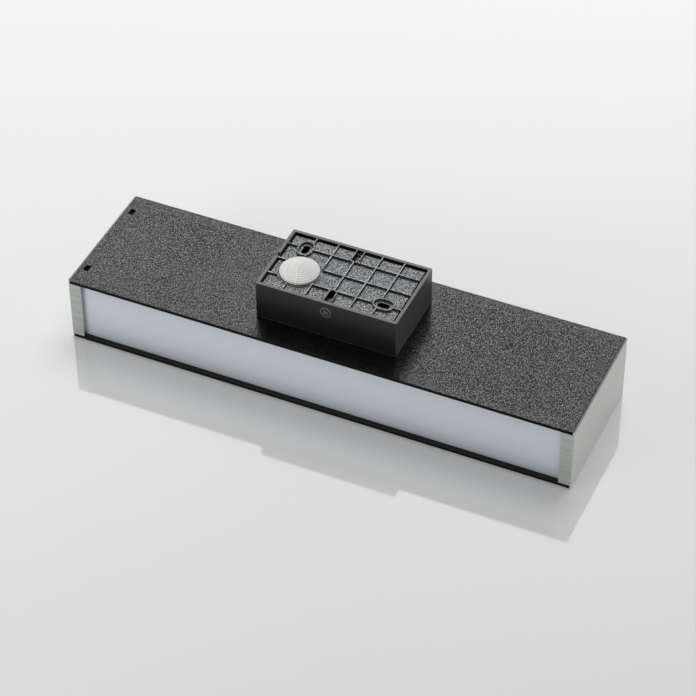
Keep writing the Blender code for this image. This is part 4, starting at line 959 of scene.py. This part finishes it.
def grommet_profile():
    """Radius and height of the grommet from its tip to the top of its hollow, and the dome's points."""
    dome = [dome_point(i / 100) for i in range(101)]
    seat = POCKET_Z + CLEARANCE
    groove = TRAY_LOW - CLEARANCE
    foot = GROMMET_LOW.z
    bore = NECK_R - NECK_WALL
    rest = [
        (GROMMET_R, seat + SEAT_BEVEL), (GROMMET_R - SEAT_BEVEL, seat), (NECK_R, seat), (NECK_R, groove),
        (LIP_R - LIP_BEVEL, groove), (LIP_R, groove - LIP_BEVEL), (LIP_R, foot + FOOT_BEVEL),
        (LIP_R - FOOT_BEVEL, foot), (bore, foot), (bore, GROMMET_SHOULDER - HOLLOW_DROP),
        (NECK_R * 0.5, GROMMET_SHOULDER + GROMMET_RISE * 0.35),
        (0.0, GROMMET_SHOULDER + GROMMET_RISE * 0.48),
    ]
    return dome + shoulder_arc(80, 0, 6) + rest, len(dome)


def mould_line_mesh(sizes):
    """The thin line that the mould's halves leave, from the tip down the near side to the seat."""
    radius = sizes.mould_line
    curve = bpy.data.curves.new("mould_line", "CURVE")
    curve.dimensions = "3D"
    curve.bevel_depth = radius
    curve.bevel_resolution = 2
    curve.use_fill_caps = True
    shares = [i / 40 for i in range(1, 41)]
    # Thin at the tip, so that the line stays below the dome's own height
    profile = [(*dome_point(share), min(1.0, (share / 0.22) ** sizes.dome_bulge)) for share in shares]
    profile += [(reach, rise, 1.0) for reach, rise in shoulder_arc(60, 0, 4)]
    profile.append((GROMMET_R, POCKET_Z + 2 * CLEARANCE, 1.0))
    spline = curve.splines.new("POLY")
    spline.points.add(len(profile) - 1)
    for point, (reach, rise, share) in zip(spline.points, profile):
        spot = GROMMET_PLACE + MOULD_LINE_WAY * reach
        point.co = (spot.x, spot.y, rise + radius * share * 0.2, 1)
        point.radius = share
    return plain(placed(curve))


def cross_cut(span, width, depth, taper):
    """A tapered cross that is cut from a screw's head. Its top is at zero."""
    a, b = span / 2, width / 2
    corners = [(a, -b), (a, b), (b, b), (b, a), (-b, a), (-b, b), (-a, b), (-a, -b), (-b, -b), (-b, -a),
               (b, -a), (b, -b)]
    return walled("cross_cut", [(x * taper, y * taper, -depth) for x, y in corners],
                  [(x, y, OVERRUN / 4) for x, y in corners])


def threaded(shank, length_, start):
    """The profile of a shank from under its head to its tip, with rolled thread grooves."""
    points = [(shank, -start)]
    z = start + THREAD_PITCH
    while z < length_ - TIP_LENGTH:
        points += [(shank * THREAD_ROOT_SHARE, -z), (shank, -z - THREAD_PITCH / 2)]
        z += THREAD_PITCH
    return points + [(shank * TIP_SHARE, -length_), (0, -length_)]


def cut_screw(name, profile, cut):
    """A turned screw with a recess cut in its head, smooth but for its edges."""
    return smoothed(carved(turned(name, profile, SCREW_SIDES), [("DIFFERENCE", cut)]), 32)


def pan_screw(name, shank, head, crown, length_):
    """A pan head screw: its origin is under its head and its shank runs along -Z."""
    profile = []
    for angle in range(0, 91, 15):
        turn = math.radians(angle)
        profile.append((head * math.sin(turn), crown * (0.45 + 0.55 * math.cos(turn))))
    profile += [(head, 0.0)] + threaded(shank, length_, 0.0)
    share = bpy.context.scene.wall_light_sizes.recess_share
    cut = cross_cut(2 * head * share, head * 0.2, crown * 0.7, 0.55)
    cut.transform(Matrix.Translation((0, 0, crown)))
    return cut_screw(name, profile, cut)


def sunk_screw(name, shank, head, depth, length_):
    """A countersunk screw: its origin is in the middle of its flat head."""
    bevel = 0.0002
    profile = [(0, 0), (head - bevel, 0), (head, -bevel), (shank, -depth)]
    share = bpy.context.scene.wall_light_sizes.recess_share
    recess_width = 0.0009
    recess_depth = 0.0013
    cut = cross_cut(2 * head * share, recess_width, recess_depth, 0.5)
    return cut_screw(name, profile + threaded(shank, length_, depth), cut)


def grub_screw(name, radius, height):
    """A slotted clamp screw: its origin is in the middle of its top."""
    bevel = 0.0003
    profile = [(0, 0), (radius - bevel, 0), (radius, -bevel), (radius, bevel - height),
               (radius - bevel, -height), (0, -height)]
    half = 0.0003
    depth = 0.0009
    cut = raised("slot", rectangle(-radius - OVERRUN, -half, radius + OVERRUN, half), -depth, OVERRUN)
    return cut_screw(name, profile, cut)


def screw_stance(node, axis, crown):
    """Where a screw's origin is, which is a crown's height below its top, and its length below that."""
    low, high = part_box(node)
    reach = abs((high - low).dot(axis)) / 2
    return (low + high) / 2 + axis * (reach - crown), 2 * reach - crown


# Name, CAD node, how many, axis from shank to head, kind, finish and seed of each group of screws, and
# its body where that isn't the lamp
SCREW_GROUPS = (
    ("wall_box_screws", "canopy_screw", 4, (0, 0, 1), "large", "zinc_plated_steel", 3),
    ("earth_terminal_screw", "earth_screw", 0, (0, 0, 1), "large", "brass", 5),
    ("terminal_clamp_screws", "clamp_screw", 6, (0, 0, 1), "grub", "brass", 7),
    ("terminal_fixing_screw", "terminal_block_screw", 0, (0, 0, 1), "small", "zinc_plated_steel", 2),
    ("driver_fixing_screws", "driver_screw", 2, (0, 0, -1), "small", "zinc_plated_steel", 4),
    ("left_bulkhead_screws", "left_bulkhead_screw", 2, (-1, 0, 0), "small", "zinc_plated_steel", 6),
    ("right_bulkhead_screws", "right_bulkhead_screw", 2, (1, 0, 0), "small", "zinc_plated_steel", 8),
    ("lower_board_screws", "lower_light_board_screw", 2, (0, -1, 0), "small", "zinc_plated_steel", 9),
    ("upper_board_screws", "upper_light_board_screw", 2, (0, 1, 0), "small", "zinc_plated_steel", 10),
    ("front_side_screw", "side_screw_front", 0, (0, -1, 0), "sunk", "black_steel", 11, "front_screw"),
    ("rear_side_screw", "side_screw_rear", 0, (0, 1, 0), "sunk", "black_steel", 12, "rear_screw"),
)


def stand_screws(name, stem, count, axis, kind, slot, seed, body="lamp"):
    """One piece for a group of like screws, made by the screw tree.

    Their nodes are numbered from 1. A count of 0 is one node, without a number.
    """
    nodes = [f"{stem}_{i + 1}" for i in range(count)] or [stem]
    axis = Vector(axis)
    low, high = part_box(nodes[0])
    make, sizes, crown = {
        "large": (pan_screw, LARGE_SCREW, LARGE_SCREW[2]),
        "small": (pan_screw, SMALL_SCREW, SMALL_SCREW[2]),
        "sunk": (sunk_screw, SIDE_SCREW, 0.0),
        "grub": (grub_screw, [(high.x - low.x) / 2], 0.0),
    }[kind]
    stances = [screw_stance(node, axis, crown) for node in nodes]
    model = placed(make(name + "_model", *sizes, stances[0][1]))
    points = wire(name + "_points", [tuple(place) for place, _ in stances])
    mesh = grown(name, points, "screws_on_points", slot, {"Screw": model, "Axis": axis, "Seed": seed})
    bpy.data.objects.remove(model, do_unlink=True)
    piece(name, mesh, slot, body, nodes)


# Operators


class WALLLIGHT_OT_finishes(bpy.types.Operator):
    """Mix the finishes of the light from its colours"""

    bl_idname = "wall_light.finishes"
    bl_label = "Mix finishes"

    def execute(self, context):
        for make in (make_grain_effect, make_edge_effect, make_facing_effect, make_handling_effect,
                     make_rib_tree, make_screw_tree, make_window_tree, make_dome_tree):
            make()
        make_finishes(context.scene.wall_light_colours)
        return {"FINISHED"}


class WALLLIGHT_OT_plates(bpy.types.Operator):
    """Make the rear plate and the front cover with their coated edges"""

    bl_idname = "wall_light.plates"
    bl_label = "Plates"

    def execute(self, context):
        sizes = context.scene.wall_light_sizes
        dress("rear_plate", "_coated", "black_textured_coat", sizes.plate_edge)
        cover = merged_copy("front_cover", "front_cover_coated")
        # The photo shows a lower lip than the rail that holds the strips
        for vert in cover.vertices:
            vert.co.z = min(vert.co.z, FRONT_PLATE_TOP + sizes.cover_lip)
        piece("front_cover_coated", rounded(cover, sizes.plate_edge), "black_textured_coat",
              nodes=["front_cover"], coat="front_coat")
        return {"FINISHED"}


class WALLLIGHT_OT_end_caps(bpy.types.Operator):
    """Make the folded steel end caps"""

    bl_idname = "wall_light.end_caps"
    bl_label = "End caps"

    def execute(self, context):
        for node in ("left_end_cap", "right_end_cap"):
            dress(node, "_satin", "satin_stainless", context.scene.wall_light_sizes.cap_edge)
        return {"FINISHED"}


class WALLLIGHT_OT_opal_strips(bpy.types.Operator):
    """Make the opal strips with their fluted backs"""

    bl_idname = "wall_light.opal_strips"
    bl_label = "Opal strips"

    def execute(self, context):
        for node, side in (("lower_diffuser", -1), ("upper_diffuser", 1)):
            name = node + "_opal"
            mesh = fluted_strip(name, node, side, context.scene.wall_light_sizes)
            piece(name, mesh, "opal_acrylic", nodes=[node])
        return {"FINISHED"}


class WALLLIGHT_OT_light_boards(bpy.types.Operator):
    """Make the light boards and the windows of their light packages"""

    bl_idname = "wall_light.light_boards"
    bl_label = "Light boards"

    def execute(self, context):
        sizes = context.scene.wall_light_sizes
        for node, side in (("lower_light_board", -1), ("upper_light_board", 1)):
            dress(node, "_masked", "white_board", sizes.board_edge)
            # The board's face lies a connector's height behind the outer side of its box
            low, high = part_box(node)
            face = (high.y if side > 0 else low.y) - side * BOARD_FACE_BACK
            name = node + "_windows"
            windows = grown(name, wire("base", [(0, 0, 0)]), "windows_in_a_row", "phosphor", {
                "Count": sizes.light_count, "Pitch": (high.x - low.x) / sizes.light_count,
                "Size": Vector((sizes.window_length, WINDOW_T, sizes.window_width)),
                "Place": Vector((0, face, (low.z + high.z) / 2)),
            })
            piece(name, rounded(windows, WINDOW_T / 3), "white_board", coat="phosphor")
        return {"FINISHED"}


class WALLLIGHT_OT_wall_box(bpy.types.Operator):
    """Make the black wall box with its cast edges"""

    bl_idname = "wall_light.wall_box"
    bl_label = "Wall box"

    def execute(self, context):
        dress("canopy_shell", "_coated", "black_smooth_coat", context.scene.wall_light_sizes.box_edge)
        return {"FINISHED"}


class WALLLIGHT_OT_wall_plate(bpy.types.Operator):
    """Make the wall plate and its ribs"""

    bl_idname = "wall_light.wall_plate"
    bl_label = "Wall plate"

    def execute(self, context):
        sizes = context.scene.wall_light_sizes
        slot = "grey_cast_aluminium"
        piece("wall_plate_tray", rounded(tray_mesh(), sizes.tray_edge, 1), slot, "wall_side", ["wall_plate"])
        height = RIB_TOP - TRAY_LOW - SINK
        middle = RIB_TOP - height / 2
        points, edges = [], []
        for start, end in rib_lines():
            edges.append((len(points), len(points) + 1))
            points += [(*start, middle), (*end, middle)]
        ribs = grown("wall_plate_ribs", wire("rib_lines", points, edges), "ribs_along_lines", "rib_coat", {
            "Width": sizes.rib_width, "Height": height, "Crown": sizes.rib_crown,
        })
        piece("wall_plate_ribs", smoothed(ribs, 35), slot, "wall_side", coat="rib_coat")
        return {"FINISHED"}


class WALLLIGHT_OT_grommet(bpy.types.Operator):
    """Make the white cable grommet with its moulded steps"""

    bl_idname = "wall_light.grommet"
    bl_label = "Cable grommet"

    def execute(self, context):
        sizes = context.scene.wall_light_sizes
        profile, dome_count = grommet_profile()
        line = wire("grommet_profile", [(reach, 0, rise) for reach, rise in profile],
                    [(i, i + 1) for i in range(len(profile) - 1)])
        body = grown("grommet_body", line, "stepped_dome", "white_silicone", {
            "Profile Points": len(profile), "Dome Points": dome_count, "Rings": sizes.dome_rings,
            "Radius": GROMMET_EDGE, "Height": GROMMET_RISE, "Shoulder": GROMMET_SHOULDER,
            "Bulge": sizes.dome_bulge, "Place": GROMMET_PLACE,
        })
        name = "cable_grommet_moulded"
        mesh = joined(name, [(faced_out(body), "white_silicone"), (mould_line_mesh(sizes), "mould_line")])
        piece(name, smoothed(mesh, 40), "white_silicone", "wall_side", ["cable_grommet"], coat=None)
        return {"FINISHED"}


class WALLLIGHT_OT_screws(bpy.types.Operator):
    """Make every screw, with cross recesses, slots and threads"""

    bl_idname = "wall_light.screws"
    bl_label = "Screws"

    def execute(self, context):
        for row in SCREW_GROUPS:
            stand_screws(*row)
        return {"FINISHED"}


class WALLLIGHT_OT_wiring(bpy.types.Operator):
    """Make the terminal block, the leads, their bush and the earth lug"""

    bl_idname = "wall_light.wiring"
    bl_label = "Wiring"

    def execute(self, context):
        sizes = context.scene.wall_light_sizes
        dress("terminal_block", "_moulded", "white_nylon", sizes.moulded_edge)
        dress("earth_lug", "_moulded", "zinc_plated_steel", sizes.lug_edge)
        dress("lead_bush", "_moulded", "black_rubber", sizes.moulded_edge)
        for node, coat in (("live_lead", "brown"), ("neutral_lead", "blue"), ("earth_lead", "green_yellow"),
                           ("lower_board_lead", "white"), ("upper_board_lead", "white")):
            dress(node, "_insulated", coat + "_insulation")
        return {"FINISHED"}


class WALLLIGHT_OT_carrier(bpy.types.Operator):
    """Finish the CAD pieces that keep their own shape, such as the chassis and the gaskets"""

    bl_idname = "wall_light.carrier"
    bl_label = "Carrier and gaskets"

    def execute(self, context):
        for node in ("chassis", "driver_case", "left_bulkhead", "right_bulkhead"):
            coat = "white_nylon" if node == "driver_case" else "bare_aluminium"
            dress(node, "_finished", coat, context.scene.wall_light_sizes.carrier_edge)
        for row in frame["record"]["subparts"]:
            node = frame["nodes"][row["node"]]
            if not node.hide_render:
                for holder in node.material_slots:
                    holder.material = FINISHES[row["material_slot"]]
        return {"FINISHED"}


class WALLLIGHT_OT_studio(bpy.types.Operator):
    """Set the pale glossy table, the softboxes, the room and the camera"""

    bl_idname = "wall_light.studio"
    bl_label = "Studio"

    def execute(self, context):
        studio = context.scene.wall_light_studio
        make_table(context.scene.wall_light_colours)
        softbox("rear_panel", (-0.80, 1.60, 1.66), 1.6, studio.panel_power, "gloss")
        softbox("rear_softbox", (0.1, 1.05, 2.0), 1.2, studio.softbox_power, "diffuse")
        softbox("front_left_softbox", (-0.8, -1.0, 0.5), 0.6, studio.side_power, "diffuse")
        light_room(context.scene, studio)
        camera = placed(bpy.data.cameras.new("camera"))
        camera.data.lens = studio.camera_lens
        camera.data.sensor_width = SENSOR_WIDTH
        camera.location = studio.camera_place
        camera.rotation_euler = studio.camera_turn
        context.scene.camera = camera
        return {"FINISHED"}


# Stage


def make_table(colours):
    """A wide glossy table, with painted light that makes it a touch paler towards the back left."""
    coat = bpy.data.materials.new("glossy_table")
    coat.use_nodes = True
    tree = coat.node_tree
    # Painted light: the table's tone grows paler towards the back left
    away = vectors(tree, "DOT_PRODUCT", own_place(tree), (-0.5, 1.0, 0.0))
    back = add(tree, "ShaderNodeMapRange", {"Value": away, "From Min": -0.5, "From Max": 0.8})
    set_sockets(tree, tree.nodes["Principled BSDF"], {
        "Base Color": mixed(tree, back, colours.floor, shade(colours.floor, 1.42)),
        "Roughness": 0.06,
        "IOR": 1.53,
    })
    mesh = bpy.data.meshes.new("table")
    mesh.from_pydata([(x, y, 0) for x, y in circle((0, 0), TABLE_RADIUS, TABLE_SIDES)], [],
                     [tuple(range(TABLE_SIDES))])
    mesh.materials.append(coat)
    placed(mesh)


def softbox(name, place, size, strength, only):
    """A square area lamp turned to the light, out of the camera's own sight.

    Where only is gloss, it is a panel that shows in reflections and lights nothing else, and where
    it is diffuse, no reflection shows it.
    """
    data = bpy.data.lights.new(name, "AREA")
    data.size = size
    data.energy = strength
    lamp = placed(data)
    lamp.location = place
    lamp.rotation_euler = (LAMP_AIM - Vector(place)).to_track_quat("-Z", "Y").to_euler()
    lamp.visible_camera = False
    lamp.visible_diffuse = only != "gloss"
    lamp.visible_glossy = only != "diffuse"


def light_room(scene, studio):
    """Even light from all round, seen as a pale room by the camera, by gloss and through glass."""
    world = bpy.data.worlds.new("pale_room")
    world.use_nodes = True
    scene.world = world
    tree = world.node_tree
    even = tree.nodes["Background"]
    set_sockets(tree, even, {"Color": (1, 1, 1, 1), "Strength": studio.room_light})
    seen = add(tree, "ShaderNodeBackground", {"Color": (studio.backdrop,) * 3 + (1,), "Strength": 1.0})
    path = add(tree, "ShaderNodeLightPath").outputs
    direct = worked(tree, "MAXIMUM", path["Is Camera Ray"], path["Is Glossy Ray"])
    either = worked(tree, "MAXIMUM", direct, path["Is Transmission Ray"])
    room = add(tree, "ShaderNodeMixShader", {0: either, 1: even, 2: seen})
    set_sockets(tree, tree.nodes["World Output"], {"Surface": room})
    scene.view_settings.view_transform = "Standard"


OPERATORS = (
    WALLLIGHT_OT_finishes,
    WALLLIGHT_OT_plates,
    WALLLIGHT_OT_end_caps,
    WALLLIGHT_OT_opal_strips,
    WALLLIGHT_OT_light_boards,
    WALLLIGHT_OT_wall_box,
    WALLLIGHT_OT_wall_plate,
    WALLLIGHT_OT_grommet,
    WALLLIGHT_OT_screws,
    WALLLIGHT_OT_wiring,
    WALLLIGHT_OT_carrier,
    WALLLIGHT_OT_studio,
)
SETTINGS = {
    "wall_light_sizes": WallLightSizes,
    "wall_light_colours": WallLightColours,
    "wall_light_studio": WallLightStudio,
}


class WALLLIGHT_PT_panel(bpy.types.Panel):
    """Lists the light's pieces, sizes and colours"""

    bl_idname = "WALLLIGHT_PT_panel"
    bl_label = "Outdoor Wall Light"
    bl_space_type = "VIEW_3D"
    bl_region_type = "UI"
    bl_category = "Wall Light"

    def draw(self, context):
        pieces = self.layout.column(heading="Pieces")
        for operator in OPERATORS:
            pieces.operator(operator.bl_idname)
        for name in SETTINGS:
            settings = getattr(context.scene, name)
            listed = self.layout.column()
            for key in settings.__annotations__:
                listed.prop(settings, key)


CLASSES = (*SETTINGS.values(), *OPERATORS, WALLLIGHT_PT_panel)


def register():
    for cls in CLASSES:
        bpy.utils.register_class(cls)
    for name, cls in SETTINGS.items():
        setattr(bpy.types.Scene, name, PointerProperty(type=cls))


def unregister():
    for name in SETTINGS:
        delattr(bpy.types.Scene, name)
    for cls in reversed(CLASSES):
        bpy.utils.unregister_class(cls)


def main():
    register()
    for operator in OPERATORS:
        getattr(bpy.ops.wall_light, operator.bl_idname.partition(".")[2])()


if __name__ == "__main__":
    main()
